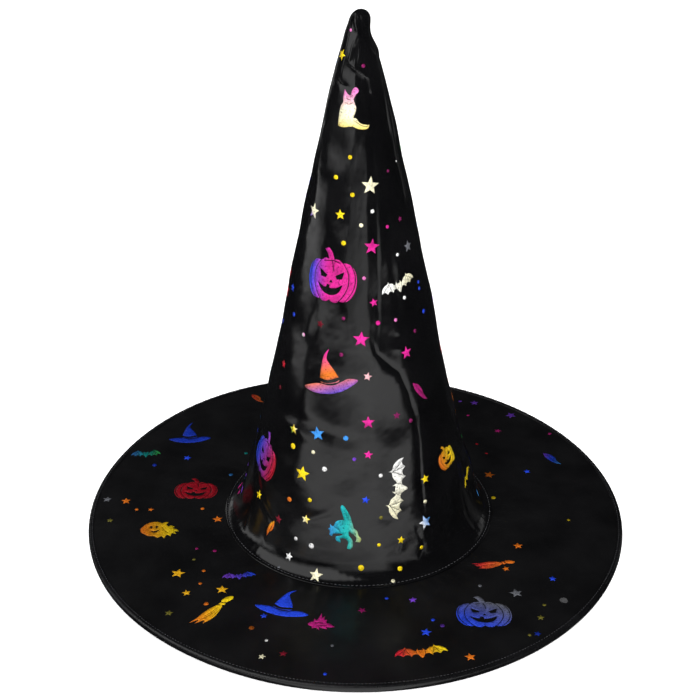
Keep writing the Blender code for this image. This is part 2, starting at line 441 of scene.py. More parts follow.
def satin(name, dark, light, rough, weave=0.05, wrinkle=0.05, spec=0.5):
    """Shiny filament satin: near black, smooth, with a very fine weave and small dints."""
    n = Nodes(name)
    n.shader.inputs["Specular IOR Level"].default_value = spec
    n.shader.inputs["IOR"].default_value = 1.5
    tone = n.noise(26.0, 3.0, 0.6)
    ramp = n.ramp(tone, "Fac", [(0.32, dark), (0.72, light)])
    n.wire(ramp, "Color", n.shader, "Base Color")
    wear = n.noise(55.0, 4.0, 0.65)
    rough_node = n.remap(wear, "Fac", rough - 0.035, rough + 0.075)
    n.wire(rough_node, "Result", n.shader, "Roughness")
    # weave: one fine diagonal wave and a finer noise, and small dints
    coords = n.object_coords()
    warp = n.add("ShaderNodeTexWave", wave_type="BANDS", bands_direction="DIAGONAL")
    warp.inputs["Scale"].default_value = 520.0
    warp.inputs["Distortion"].default_value = 1.2
    warp.inputs["Detail"].default_value = 1.0
    n.wire(coords, "Object", warp, "Vector")
    dints = n.noise(240.0, 3.0, 0.6)
    fine = n.noise(1500.0, 1.0, 0.5)
    b1 = n.add("ShaderNodeBump")
    b1.inputs["Strength"].default_value = weave
    b1.inputs["Distance"].default_value = 0.0002
    n.wire(warp, "Fac", b1, "Height")
    b2 = n.add("ShaderNodeBump")
    b2.inputs["Strength"].default_value = wrinkle
    b2.inputs["Distance"].default_value = 0.0006
    n.wire(dints, "Fac", b2, "Height")
    n.wire(b1, "Normal", b2, "Normal")
    b3 = n.add("ShaderNodeBump")
    b3.inputs["Strength"].default_value = weave
    b3.inputs["Distance"].default_value = 0.0001
    n.wire(fine, "Fac", b3, "Height")
    n.wire(b2, "Normal", b3, "Normal")
    n.wire(b3, "Normal", n.shader, "Normal")
    return n.mat


def foil(name, metallic=0.7, rough=0.33):
    """Hot-stamped coloured foil: colour from the print, fine sparkle from its grain."""
    n = Nodes(name)
    n.shader.inputs["Metallic"].default_value = metallic
    n.shader.inputs["Specular IOR Level"].default_value = 0.25
    colour = n.add("ShaderNodeVertexColor")
    colour.layer_name = "print_colour"
    grain = n.noise(900.0, 3.0, 0.75)
    level = n.ramp(grain, "Fac", [(0.33, (0.25, 0.25, 0.25)), (0.43, (0.80, 0.80, 0.80)), (0.60, (1.0, 1.0, 1.0))])
    patch = n.noise(120.0, 3.0, 0.7)
    level2 = n.ramp(patch, "Fac", [(0.30, (0.62, 0.62, 0.62)), (0.54, (1.0, 1.0, 1.0))])
    mix = n.add("ShaderNodeMix", data_type="RGBA", blend_type="MULTIPLY")
    mix.inputs[0].default_value = 1.0
    n.tree.links.new(colour.outputs["Color"], mix.inputs[6])
    n.tree.links.new(level.outputs["Color"], mix.inputs[7])
    mix2 = n.add("ShaderNodeMix", data_type="RGBA", blend_type="MULTIPLY")
    mix2.inputs[0].default_value = 1.0
    n.tree.links.new(mix.outputs[2], mix2.inputs[6])
    n.tree.links.new(level2.outputs["Color"], mix2.inputs[7])
    n.tree.links.new(mix2.outputs[2], n.shader.inputs["Base Color"])
    r = n.remap(grain, "Fac", rough - 0.08, rough + 0.14)
    n.wire(r, "Result", n.shader, "Roughness")
    bump = n.add("ShaderNodeBump")
    bump.inputs["Strength"].default_value = 0.22
    bump.inputs["Distance"].default_value = 0.0002
    n.wire(grain, "Fac", bump, "Height")
    n.wire(bump, "Normal", n.shader, "Normal")
    return n.mat


def cloth(name, dark, light, rough, scale, bump_strength, sheen=0.0, stretch=None):
    n = Nodes(name)
    tone = n.noise(scale * 0.25, 3.0, 0.6, stretch)
    ramp = n.ramp(tone, "Fac", [(0.3, dark), (0.7, light)])
    n.wire(ramp, "Color", n.shader, "Base Color")
    n.shader.inputs["Roughness"].default_value = rough
    n.shader.inputs["Specular IOR Level"].default_value = 0.3
    if sheen:
        n.shader.inputs["Sheen Weight"].default_value = sheen
        n.shader.inputs["Sheen Roughness"].default_value = 0.4
    fibre = n.noise(scale, 5.0, 0.7, stretch)
    bump = n.add("ShaderNodeBump")
    bump.inputs["Strength"].default_value = bump_strength
    bump.inputs["Distance"].default_value = 0.0005
    n.wire(fibre, "Fac", bump, "Height")
    n.wire(bump, "Normal", n.shader, "Normal")
    return n.mat


SATIN_CROWN = satin("satin_crown", (0.0015, 0.0015, 0.0017), (0.0034, 0.0034, 0.0038), 0.13)
SATIN_BRIM = satin("satin_brim", (0.0019, 0.0019, 0.0021), (0.0046, 0.0046, 0.0049), 0.32, 0.06, 0.12)
SATIN_UNDER = satin("satin_underside", (0.0030, 0.0030, 0.0034), (0.0062, 0.0062, 0.0068), 0.26, 0.08, 0.10)
SATIN_TAPE = satin("satin_binding", (0.0020, 0.0020, 0.0023), (0.0050, 0.0050, 0.0055), 0.26, 0.10, 0.09)
FOIL = foil("print_foil", 0.22, 0.30)
FOIL_BRIM = foil("print_foil_brim", 0.25, 0.36)
NONWOVEN = cloth("nonwoven_interlining", (0.012, 0.012, 0.013), (0.026, 0.026, 0.028), 0.85, 700.0, 0.6, 0.15)
FELT = cloth("felt_board", (0.020, 0.020, 0.021), (0.045, 0.045, 0.047), 0.95, 900.0, 0.8, 0.3)
RIBBON = cloth("grosgrain_ribbon", (0.006, 0.006, 0.007), (0.013, 0.013, 0.014), 0.55, 500.0, 0.25, 0.1)
SEAM_CLOTH = cloth("seam_tape_cloth", (0.010, 0.010, 0.011), (0.022, 0.022, 0.024), 0.75, 600.0, 0.4, 0.1)
YARN = cloth("polyester_thread", (0.020, 0.020, 0.022), (0.070, 0.070, 0.076), 0.42, 1600.0, 0.4)
YARN_LIGHT = cloth("base_thread", (0.020, 0.020, 0.022), (0.120, 0.120, 0.128), 0.38, 1600.0, 0.4)

# =====================================================================================
# Crown cover
# =====================================================================================
COLS = 400
angles = np.linspace(0.0, 360.0, COLS, endpoint=False)
s_rows = np.concatenate([
    np.linspace(0.0, 30.0, 30, endpoint=False),
    np.linspace(30.0, 330.0, 290, endpoint=False),
    np.linspace(330.0, S_TOP - 0.6, 44),
])
A, S = np.meshgrid(angles, s_rows)
body = crown_point(A, S)
# the folded hem: round the edge and back underneath
hem = []
for dr, z in ((-4.2, 4.55), (-1.4, 4.62), (-0.1, 4.78), (0.28, 5.05)):
    base = np.radians(angles)
    r = R_TAB[0] + dr
    hem.append(np.stack([axis_x(5.0) + r * np.sin(base), -r * np.cos(base), np.full(COLS, z)], axis=-1) * MM)
rows = np.concatenate([np.array(hem), body], axis=0)
verts = rows.reshape(-1, 3)
faces = grid_faces(len(rows), COLS)
top = len(verts)
verts = np.concatenate([verts, [[axis_x(362.0) * MM, 0.0, 0.3620]]])
last = (len(rows) - 1) * COLS
cap = [(last + i, last + (i + 1) % COLS, top) for i in range(COLS)]
crown = mesh_object("crown_satin", verts, [tuple(f) for f in faces.tolist()] + cap, SATIN_CROWN)
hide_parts("crown_cover")

# =====================================================================================
# Brim: top cloth, felt board, underside, binding
# =====================================================================================
def ring_grid(radii, cols):
    th = np.linspace(0, 2 * math.pi, cols, endpoint=False)
    rr, tt = np.meshgrid(radii, th, indexing="ij")
    return rr * np.cos(tt), rr * np.sin(tt)


BCOLS = 540
radii = np.concatenate([np.linspace(87.6, 100.0, 16, endpoint=False), np.linspace(100.0, 189.0, 118)])
X, Y = ring_grid(radii, BCOLS)
top_pts = brim_point(X, Y)
edge = smooth01((X**2 + Y**2) ** 0.5 / 1.0 - 185.0) * 0.0
faces = grid_faces(len(radii), BCOLS)
brim_top = mesh_object("brim_top_satin", top_pts.reshape(-1, 3), faces, SATIN_BRIM)
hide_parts("brim_top_cover")

X, Y = ring_grid(np.linspace(87.6, 189.0, 70), 300)
under = np.stack([X, Y, 1.1 + brim_wave(X, Y) - 0.35 * brim_fine(Y, X) * smooth01((np.hypot(X, Y) - 100) / 20)], axis=-1) * MM
brim_under = mesh_object("brim_under_satin", under.reshape(-1, 3), grid_faces(70, 300)[:, ::-1].copy(), SATIN_UNDER)
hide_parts("brim_under_cover")

# felt board: a closed ring with rounded edges, seen at the head hole
prof = [(87.3, 2.0), (87.3, 3.6), (87.8, 4.0), (110, 4.0), (140, 4.0), (170, 4.0), (188.2, 4.0), (188.6, 3.6),
        (188.6, 2.1), (188.2, 1.8), (170, 1.8), (140, 1.8), (110, 1.8), (87.8, 1.8)]
cols = 220
th = np.linspace(0, 2 * math.pi, cols, endpoint=False)
pts = []
for r, z in prof:
    x, y = r * np.cos(th), r * np.sin(th)
    pts.append(np.stack([x, y, z + brim_wave(x, y)], axis=-1) * MM)
pts = np.array(pts)
f = grid_faces(len(prof), cols)
k = (len(prof) - 1) * cols
wrap = np.array([[k + i, k + (i + 1) % cols, (i + 1) % cols, i] for i in range(cols)])
felt = mesh_object("brim_felt_board", pts.reshape(-1, 3), np.concatenate([f, wrap])[:, :], FELT)
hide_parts("brim_stiffener")

# binding: a tape rolled over the edge, puckered between its stitches
cols = 1500
th = np.linspace(0, 2 * math.pi, cols, endpoint=False)
prof = [(186.1, 4.55), (186.0, 4.85), (186.35, 5.12), (187.2, 5.34), (188.3, 5.38), (189.2, 5.02), (189.75, 4.3),
        (189.98, 3.3), (189.98, 2.2), (189.75, 1.25), (189.2, 0.5), (188.3, 0.1), (187.2, 0.02), (186.35, 0.12),
        (186.0, 0.4), (186.1, 0.95)]
pts = []
for i, (r, z) in enumerate(prof):
    pucker = np.sin(th * 512 + 0.8 * np.sin(th * 23)) * 0.5 + 0.35 * np.sin(th * 171 + 2.0 * np.sin(th * 31))
    amp = 0.16 if 2 <= i <= 8 else 0.08
    rr = r + amp * 0.35 * pucker * (1 if i < 8 else 0.5) - (0.12 if 5 <= i <= 10 else 0)
    x, y = rr * np.cos(th), rr * np.sin(th)
    x0, y0 = r * np.cos(th), r * np.sin(th)
    lift = amp * pucker if i <= 5 else 0.0
    pts.append(np.stack([x, y, np.maximum(z + lift, 0.0) + brim_wave(x0, y0)], axis=-1) * MM)
pts = np.array(pts)
binding = mesh_object("brim_edge_binding_tape", pts.reshape(-1, 3), grid_faces(len(prof), cols)[:, ::-1].copy(), SATIN_TAPE)
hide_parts("brim_edge_binding")


# =====================================================================================
# Stitching
# =====================================================================================
def stitches(name, starts, ends, ups, width, mat, sag=0.25):
    """Each stitch is a small rounded length of thread from one point to the next."""
    n_len, n_side = 5, 6
    a, b, up = (np.asarray(v, dtype=float) for v in (starts, ends, ups))
    along = b - a
    length = np.linalg.norm(along, axis=1, keepdims=True)
    along /= length
    up /= np.linalg.norm(up, axis=1, keepdims=True)
    side = np.cross(up, along)
    t = np.linspace(0, 1, n_len)
    prof = np.array([0.35, 0.85, 1.0, 0.85, 0.35])
    bow = np.array([-0.55, 0.35, 0.65, 0.35, -0.55])
    q = np.linspace(0, 2 * math.pi, n_side, endpoint=False)
    centre = a[:, None, :] + along[:, None, :] * (length[:, None, :] * t[None, :, None])
    centre = centre + up[:, None, :] * (bow[None, :, None] * width)
    ring = centre[:, :, None, :] + width * prof[None, :, None, None] * (
        side[:, None, None, :] * np.cos(q)[None, None, :, None]
        + up[:, None, None, :] * np.sin(q)[None, None, :, None]
    )
    n = len(a)
    verts = ring.reshape(-1, 3)
    per = n_len * n_side
    cell = []
    for i in range(n_len - 1):
        for j in range(n_side):
            k = (j + 1) % n_side
            cell.append((i * n_side + j, i * n_side + k, (i + 1) * n_side + k, (i + 1) * n_side + j))
    cell.append(tuple(range(n_side))[::-1])
    cell.append(tuple(range((n_len - 1) * n_side, n_len * n_side)))
    faces = []
    for m in range(n):
        base = m * per
        faces.extend(tuple(v + base for v in c) for c in cell)
    return mesh_object(name, verts, faces, mat)


def ring_points(count, radius, phase):
    th = (np.arange(count) + phase) * 2 * math.pi / count
    return radius * np.cos(th), radius * np.sin(th)


# foot of the crown: through the hem into the brim
count = 210
ang = np.arange(count) * 360.0 / count
s0 = 1.7
p0 = crown_point(ang, np.full(count, s0), 0.22)
p1 = crown_point(ang + 360.0 / count * 0.66, np.full(count, s0), 0.22)
ups = crown_point(ang, np.full(count, s0), 3.0) - crown_point(ang, np.full(count, s0), 0.0)
base_stitch = stitches("crown_base_stitches", p0, p1, ups, 0.00018, YARN_LIGHT)
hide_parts("crown_base_stitching")

count = 512
x0, y0 = ring_points(count, 187.1, 0.18)
x1, y1 = ring_points(count, 187.1, 0.80)
p0 = np.stack([x0, y0, 5.42 + brim_wave(x0, y0)], axis=-1) * MM
p1 = np.stack([x1, y1, 5.42 + brim_wave(x1, y1)], axis=-1) * MM
edge_stitch = stitches("brim_edge_stitches", p0, p1, np.tile([0.0, 0.0, 1.0], (count, 1)), 0.00019, YARN)
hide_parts("brim_edge_stitching")


# =====================================================================================
# Inside of the crown: interlining, seam tape, sweatband
# =====================================================================================
CONE_Z = np.array([1.5, 20.0, 60.0, 100.0, 150.0, 200.0, 250.0, 300.0, 330.0, 345.0])
CONE_R = np.array([86.3, 82.0, 72.6, 63.4, 52.9, 42.7, 32.3, 20.9, 13.5, 9.3])


def inner_point(a, z, inset):
    """A point inside the cone at height z mm, inset mm behind the crown cloth."""
    a, z = np.broadcast_arrays(np.asarray(a, float), np.asarray(z, float))
    s = np.interp(z, Z_TAB, S_TAB)
    r = np.interp(z, CONE_Z, CONE_R) + crown_disp(a, s) * smooth01((z - 14.0) / 18.0) - inset
    ar = np.radians(a)
    return np.stack([axis_x(z) + r * np.sin(ar), -r * np.cos(ar), z], axis=-1) * MM


cols = 200
ang = np.linspace(0, 360, cols, endpoint=False)
zs = np.concatenate([np.linspace(1.6, 30, 14, endpoint=False), np.linspace(30, 344, 120)])
AA, ZZ = np.meshgrid(ang, zs)
outer = inner_point(AA, ZZ, 0.85)
inner = inner_point(AA, ZZ, 1.75)
n = len(zs)
verts = np.concatenate([outer.reshape(-1, 3), inner.reshape(-1, 3)])
f1 = grid_faces(n, cols)
f2 = grid_faces(n, cols)[:, ::-1] + n * cols
low = np.array([[i, n * cols + i, n * cols + (i + 1) % cols, (i + 1) % cols] for i in range(cols)])
kk = (n - 1) * cols
apex_o, apex_i = len(verts), len(verts) + 1
verts = np.concatenate([verts, [[axis_x(349.0) * MM, 0, 0.3492], [axis_x(347.0) * MM, 0, 0.3474]]])
tris = [(kk + i, kk + (i + 1) % cols, apex_o) for i in range(cols)]
tris += [(n * cols + kk + (i + 1) % cols, n * cols + kk + i, apex_i) for i in range(cols)]
lining = mesh_object(
    "crown_nonwoven_lining", verts,
    [tuple(q) for q in np.concatenate([f1, f2, low]).tolist()] + tris, NONWOVEN)
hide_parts("crown_interlining")

# seam tape over the upright seam, with a stitch line down it
zs = np.linspace(34.0, 295.0, 110)
across = np.linspace(-3.0, 3.0, 9)
ZZ, UU = np.meshgrid(zs, across, indexing="ij")
rr = np.interp(ZZ, CONE_Z, CONE_R) - 2.0
AA = 65.0 + np.degrees((UU + 0.25 * np.sin(ZZ / 23.0)) / rr)
face = inner_point(AA, ZZ, 2.45 + 0.08 * np.cos(ZZ / 1.9) * (np.abs(UU) > 2.0))
back = inner_point(AA, ZZ, 1.95)
nr, nc = ZZ.shape
verts = np.concatenate([face.reshape(-1, 3), back.reshape(-1, 3)])
fa = grid_faces(nr, nc, wrap=False)[:, ::-1]
fb = grid_faces(nr, nc, wrap=False) + nr * nc
sides = []
for i in range(nr - 1):
    for j in (0, nc - 1):
        p, q = i * nc + j, (i + 1) * nc + j
        quad = (p, q, q + nr * nc, p + nr * nc)
        sides.append(quad if j == nc - 1 else quad[::-1])
for j in range(nc - 1):
    for i in (0, nr - 1):
        p, q = i * nc + j, i * nc + j + 1
        quad = (p, q, q + nr * nc, p + nr * nc)
        sides.append(quad if i == 0 else quad[::-1])
tape = mesh_object("crown_seam_tape_strip", verts, [tuple(q) for q in np.concatenate([fa, fb]).tolist()] + sides, SEAM_CLOTH)
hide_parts("crown_seam_tape")
count = 100
zz = np.linspace(36.5, 291.0, count)
gap = (zz[1] - zz[0]) * 0.62
p0 = inner_point(np.full(count, 65.0), zz, 2.62)
p1 = inner_point(np.full(count, 65.0), zz + gap, 2.62)
ups = inner_point(np.full(count, 65.0), zz, 4.0) - inner_point(np.full(count, 65.0), zz, 2.5)
seam_stitch = stitches("crown_seam_stitches", p0, p1, ups, 0.00022, YARN)
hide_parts("crown_seam_thread")

# sweatband: ribbed ribbon with a soft lower edge
cols = 1080
ang = np.linspace(0, 360, cols, endpoint=False)
prof = [(2.15, 26.4), (2.2, 25.5), (2.15, 18.0), (2.15, 10.0), (2.15, 2.5), (2.3, 1.7), (2.6, 1.7), (2.78, 2.5),
        (2.72, 3.6), (2.66, 5.0), (2.74, 7.0), (2.78, 10.0), (2.78, 18.0), (2.78, 25.3), (2.6, 26.3)]
rib = 0.5 + 0.5 * np.cos(np.radians(ang) * 270)
pts = []
for i, (inset, z) in enumerate(prof):
    wob = 0.10 * np.sin(np.radians(ang) * 21) * (1 if z < 12 else 0.4)
    extra = 0.13 * rib if inset > 2.55 else 0.0
    r = np.interp(z, CONE_Z, CONE_R) - inset - extra
    zz = np.full(cols, z) + wob * (0.5 if z > 3 else 0.15)
    ar = np.radians(ang)
    pts.append(np.stack([axis_x(z) + r * np.sin(ar), -r * np.cos(ar), zz], axis=-1) * MM)
pts = np.array(pts)
f = grid_faces(len(prof), cols)
k = (len(prof) - 1) * cols
wrap = np.array([[k + i, k + (i + 1) % cols, (i + 1) % cols, i] for i in range(cols)])
band = mesh_object("sweatband_ribbon", pts.reshape(-1, 3), np.concatenate([f, wrap])[:, ::-1].copy(), RIBBON)
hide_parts("sweatband")
count = 190
ang = np.arange(count) * 360.0 / count
zst = np.full(count, 4.6)


def band_point(a, z, inset):
    r = np.interp(z, CONE_Z, CONE_R) - inset
    ar = np.radians(a)
    return np.stack([axis_x(z) + r * np.sin(ar), -r * np.cos(ar), z], axis=-1) * MM


p0 = band_point(ang, zst, 2.98)
p1 = band_point(ang + 360.0 / count * 0.62, zst, 2.98)
ups = band_point(ang, zst, 4.0) - band_point(ang, zst, 2.9)
band_stitch = stitches("sweatband_stitches", p0, p1, ups, 0.00024, YARN)
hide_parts("sweatband_stitching")

# =====================================================================================
# Printed foil: shapes of this script's own design, cut out flat and laid on the cloth
# =====================================================================================
PAL = {
    "Y": srgb(255, 222, 24), "G": srgb(246, 184, 30), "O": srgb(232, 120, 30), "R": srgb(205, 30, 50),
    "DR": srgb(120, 18, 38), "M": srgb(232, 40, 155), "DM": srgb(140, 28, 96), "P": srgb(246, 130, 205),
    "V": srgb(128, 70, 215), "B": srgb(40, 78, 240), "LB": srgb(70, 160, 250), "T": srgb(25, 185, 180),
    "GR": srgb(60, 195, 95), "C": srgb(252, 246, 208), "W": srgb(252, 252, 250), "GY": srgb(110, 112, 118),
    "DB": srgb(30, 34, 120), "OL": srgb(118, 112, 44), "DT": srgb(10, 70, 66), "BR": srgb(150, 110, 40),
    "PK": srgb(250, 190, 215), "SP": srgb(246, 190, 196), "K": srgb(24, 22, 22),
}
TWO = {
    "VC": ["V", "C", "C"], "GY2": ["GR", "Y", "C"], "CY": ["C", "Y"], "WB": ["W", "LB"], "WP": ["W", "P"],
    "SP": ["SP", "SP"],
}


def curve(points, per=6, closed=True):
    """Rounded outline through the points; a point given twice in a row stays a corner."""
    p = np.asarray(points, dtype=float)
    n = len(p)
    out = []
    for i in range(n if closed else n - 1):
        p0, p1, p2, p3 = p[(i - 1) % n], p[i], p[(i + 1) % n], p[(i + 2) % n]
        if np.allclose(p1, p2):
            out.append(p1)
            continue
        if np.allclose(p0, p1):
            p0 = p1
        for t in np.linspace(0, 1, per, endpoint=False):
            out.append(0.5 * (2 * p1 + (p2 - p0) * t + (2 * p0 - 5 * p1 + 4 * p2 - p3) * t**2
                              + (3 * p1 - p0 - 3 * p2 + p3) * t**3))
    if not closed:
        out.append(p[-1])
    out = np.array(out)
    keep = np.linalg.norm(out - np.roll(out, 1, axis=0), axis=1) > 1e-4
    return out[keep] if closed else out


def stroke(points, width, taper=True):
    """A closed outline round a line, thinning to its ends."""
    p = np.asarray(points, dtype=float)
    d = np.gradient(p, axis=0)
    d /= np.maximum(np.linalg.norm(d, axis=1, keepdims=True), 1e-9)
    nrm = np.stack([-d[:, 1], d[:, 0]], axis=1)
    t = np.linspace(0, 1, len(p))
    w = width * (np.sin(np.pi * np.clip(t * 0.9 + 0.05, 0, 1)) ** 0.5 if taper else np.ones(len(p)))
    return np.concatenate([p + nrm * w[:, None] * 0.5, (p - nrm * w[:, None] * 0.5)[::-1]])


def ellipse(cx, cy, rx, ry, n=30, tilt=0.0):
    t = np.linspace(0, 2 * math.pi, n, endpoint=False)
    x, y = rx * np.cos(t), ry * np.sin(t)
    c, s = math.cos(math.radians(tilt)), math.sin(math.radians(tilt))
    return np.stack([cx + x * c - y * s, cy + x * s + y * c], axis=1)


def shape_star(waist=0.45):
    t = np.radians(90 + 36 * np.arange(10))
    r = np.where(np.arange(10) % 2 == 0, 1.0, waist)
    return [np.stack([r * np.cos(t), r * np.sin(t)], axis=1)], []


def shape_dot():
    return [ellipse(0, 0, 1, 1, 14)], []


def shape_pumpkin():
    solid = [ellipse(-0.52, -0.05, 0.47, 0.70), ellipse(0.52, -0.05, 0.47, 0.70), ellipse(-0.2, -0.02, 0.42, 0.78),
             ellipse(0.2, -0.02, 0.42, 0.78)]
    stem = curve([(-0.10, 0.66), (-0.10, 0.66), (-0.16, 0.90), (-0.30, 1.06), (-0.30, 1.06), (-0.14, 1.14), (-0.14, 1.14),
                  (0.02, 0.96), (0.12, 0.68), (0.12, 0.68)])
    solid.append(stem)
    cut = []
    for side in (-1, 1):
        for x_mid, x_top in ((0.62, 0.30), (0.86, 0.55)):
            line = curve([(side * x_top, 0.66), (side * (x_mid + 0.03), 0.28), (side * (x_mid + 0.02), -0.30),
                          (side * x_top * 0.9, -0.72)], 8, closed=False)
            cut.append(stroke(line, 0.030))
    cut.append(stroke(curve([(0.0, 0.72), (0.07, 0.52), (0.08, 0.30)], 8, closed=False), 0.028))
    cut.append(stroke(curve([(-0.30, 0.62), (-0.1, 0.68), (0.12, 0.70), (0.32, 0.60)], 8, closed=False), 0.03))
    cut.append(np.array([(-0.46, 0.36), (-0.13, 0.16), (-0.20, 0.06), (-0.40, 0.08)]))
    cut.append(np.array([(0.50, 0.34), (0.18, 0.17), (0.24, 0.04), (0.44, 0.07)]))
    cut.append(np.array([(0.02, 0.02), (0.10, -0.09), (-0.05, -0.10)]))
    grin = [(-0.52, -0.14), (-0.52, -0.14), (-0.30, -0.25), (-0.16, -0.27), (-0.14, -0.16), (-0.14, -0.16), (-0.02, -0.18),
            (-0.02, -0.18), (0.0, -0.29), (0.25, -0.25), (0.48, -0.12), (0.48, -0.12), (0.34, -0.42), (0.08, -0.54), (-0.18, -0.50),
            (-0.38, -0.36)]
    cut.append(curve(grin, 4))
    return solid, cut


def shape_bat():
    wing = [(0.0, 0.20), (0.10, 0.20), (0.10, 0.36), (0.10, 0.36), (0.17, 0.22), (0.22, 0.14), (0.40, 0.38), (0.58, 0.46),
            (0.60, 0.62), (0.60, 0.62), (0.68, 0.46), (0.86, 0.40), (1.05, 0.16), (1.12, -0.12), (1.12, -0.12), (0.98, -0.04),
            (0.86, -0.12), (0.80, -0.26), (0.80, -0.26), (0.66, -0.12), (0.52, -0.16), (0.44, -0.32), (0.44, -0.32),
            (0.33, -0.14), (0.20, -0.14), (0.12, -0.24), (0.06, -0.42), (0.0, -0.50)]
    right = np.array(wing)
    left = right[::-1].copy()
    left[:, 0] *= -1
    solid = [curve(np.concatenate([right, left[1:-1]]), 4)]
    cut = []
    for side in (-1, 1):
        for x, y in ((0.80, -0.22), (0.44, -0.28), (1.08, -0.1)):
            line = curve([(side * 0.60, 0.44), (side * (0.62 + 0.4 * (x - 0.6)), 0.15), (side * x, y)], 8, closed=False)
            cut.append(stroke(line, 0.022))
        cut.append(stroke(curve([(side * 0.16, 0.14), (side * 0.20, 0.0), (side * 0.14, -0.18)], 6, closed=False), 0.022))
    cut.append(ellipse(-0.045, 0.10, 0.018, 0.026, 10))
    cut.append(ellipse(0.045, 0.10, 0.018, 0.026, 10))
    return solid, cut


def shape_half_bat():
    """One wing and the body, as a bat that turns away round the side."""
    wing = [(0.0, 0.18), (0.0, 0.36), (0.0, 0.36), (0.09, 0.22), (0.18, 0.34), (0.18, 0.34), (0.22, 0.12), (0.22, -0.20),
            (0.30, -0.42), (0.30, -0.42), (0.12, -0.30), (0.02, -0.44), (0.02, -0.44), (-0.02, -0.16), (-0.18, -0.10),
            (-0.34, -0.20), (-0.42, -0.40), (-0.42, -0.40), (-0.56, -0.12), (-0.66, 0.02), (-0.86, 0.10), (-0.86, 0.10),
            (-0.70, 0.26), (-0.52, 0.40), (-0.52, 0.40), (-0.40, 0.30), (-0.22, 0.26)]
    solid = [curve(wing, 4)]
    cut = [stroke(curve([(-0.5, 0.34), (-0.46, 0.0), (-0.42, -0.34)], 8, closed=False), 0.02),
           stroke(curve([(-0.05, 0.2), (-0.12, 0.05), (-0.14, -0.08)], 8, closed=False), 0.03),
           stroke(curve([(0.0, 0.16), (0.0, -0.12), (0.04, -0.36)], 8, closed=False), 0.018),
           ellipse(0.08, 0.02, 0.014, 0.02, 8), ellipse(0.14, 0.02, 0.014, 0.02, 8)]
    return solid, cut


def shape_hat_hair():
    """A bent hat lying on its side with wind-blown hair streaming from it."""
    cone = [(-0.95, 0.98), (-0.95, 0.98), (-0.86, 0.55), (-0.66, 0.30), (-0.36, 0.28), (-0.05, 0.62), (0.10, 0.98), (0.10, 0.98),
            (0.12, 0.66), (-0.02, 0.32), (-0.20, 0.02), (-0.36, -0.30), (-0.46, -0.42), (-0.62, -0.30), (-0.80, 0.02),
            (-0.95, 0.45)]
    hair = [(-0.14, 0.14), (-0.14, 0.14), (0.12, 0.22), (0.30, 0.10), (0.30, 0.10), (0.36, 0.16), (0.55, 0.00), (0.62, 0.06),
            (0.62, 0.06), (0.72, -0.14), (0.86, -0.26), (1.10, -0.42), (1.10, -0.42), (0.84, -0.36), (0.66, -0.38),
            (0.80, -0.60), (0.80, -0.60), (0.70, -0.58), (0.62, -0.72), (0.62, -0.72), (0.46, -0.62), (0.36, -0.74),
            (0.36, -0.74), (0.24, -0.50), (0.06, -0.60), (0.02, -0.44), (-0.14, -0.50), (-0.14, -0.50), (-0.20, -0.34),
            (-0.34, -0.40), (-0.34, -0.40), (-0.24, -0.16)]
    lock = [(0.26, -0.78), (0.26, -0.78), (0.42, -0.92), (0.56, -1.04), (0.56, -1.04), (0.50, -0.88), (0.38, -0.76)]
    solid = [curve(cone, 5), curve(hair, 4), curve(lock, 4)]
    buckle = ellipse(-0.27, 0.10, 0.075, 0.17, 20, -38)
    buckle_in = ellipse(-0.27, 0.10, 0.042, 0.12, 16, -38)
    band_l = curve([(-0.62, 0.30), (-0.50, 0.06), (-0.36, -0.10), (-0.18, -0.06)], 6, closed=False)
    cut = [stroke(curve([(-0.30, -0.40), (-0.10, 0.02), (0.02, 0.30), (0.08, 0.60)], 8, closed=False), 0.035)]
    for i in range(5):
        cut.append(stroke(curve([(0.02 + 0.10 * i, 0.10 - 0.12 * i), (0.22 + 0.09 * i, -0.10 - 0.08 * i),
                                 (0.40 + 0.07 * i, -0.20 - 0.09 * i)], 5, closed=False), 0.016))
    cut.append(np.concatenate([buckle, buckle[:1], buckle_in[::-1], buckle_in[-1:]]))
    return solid, cut


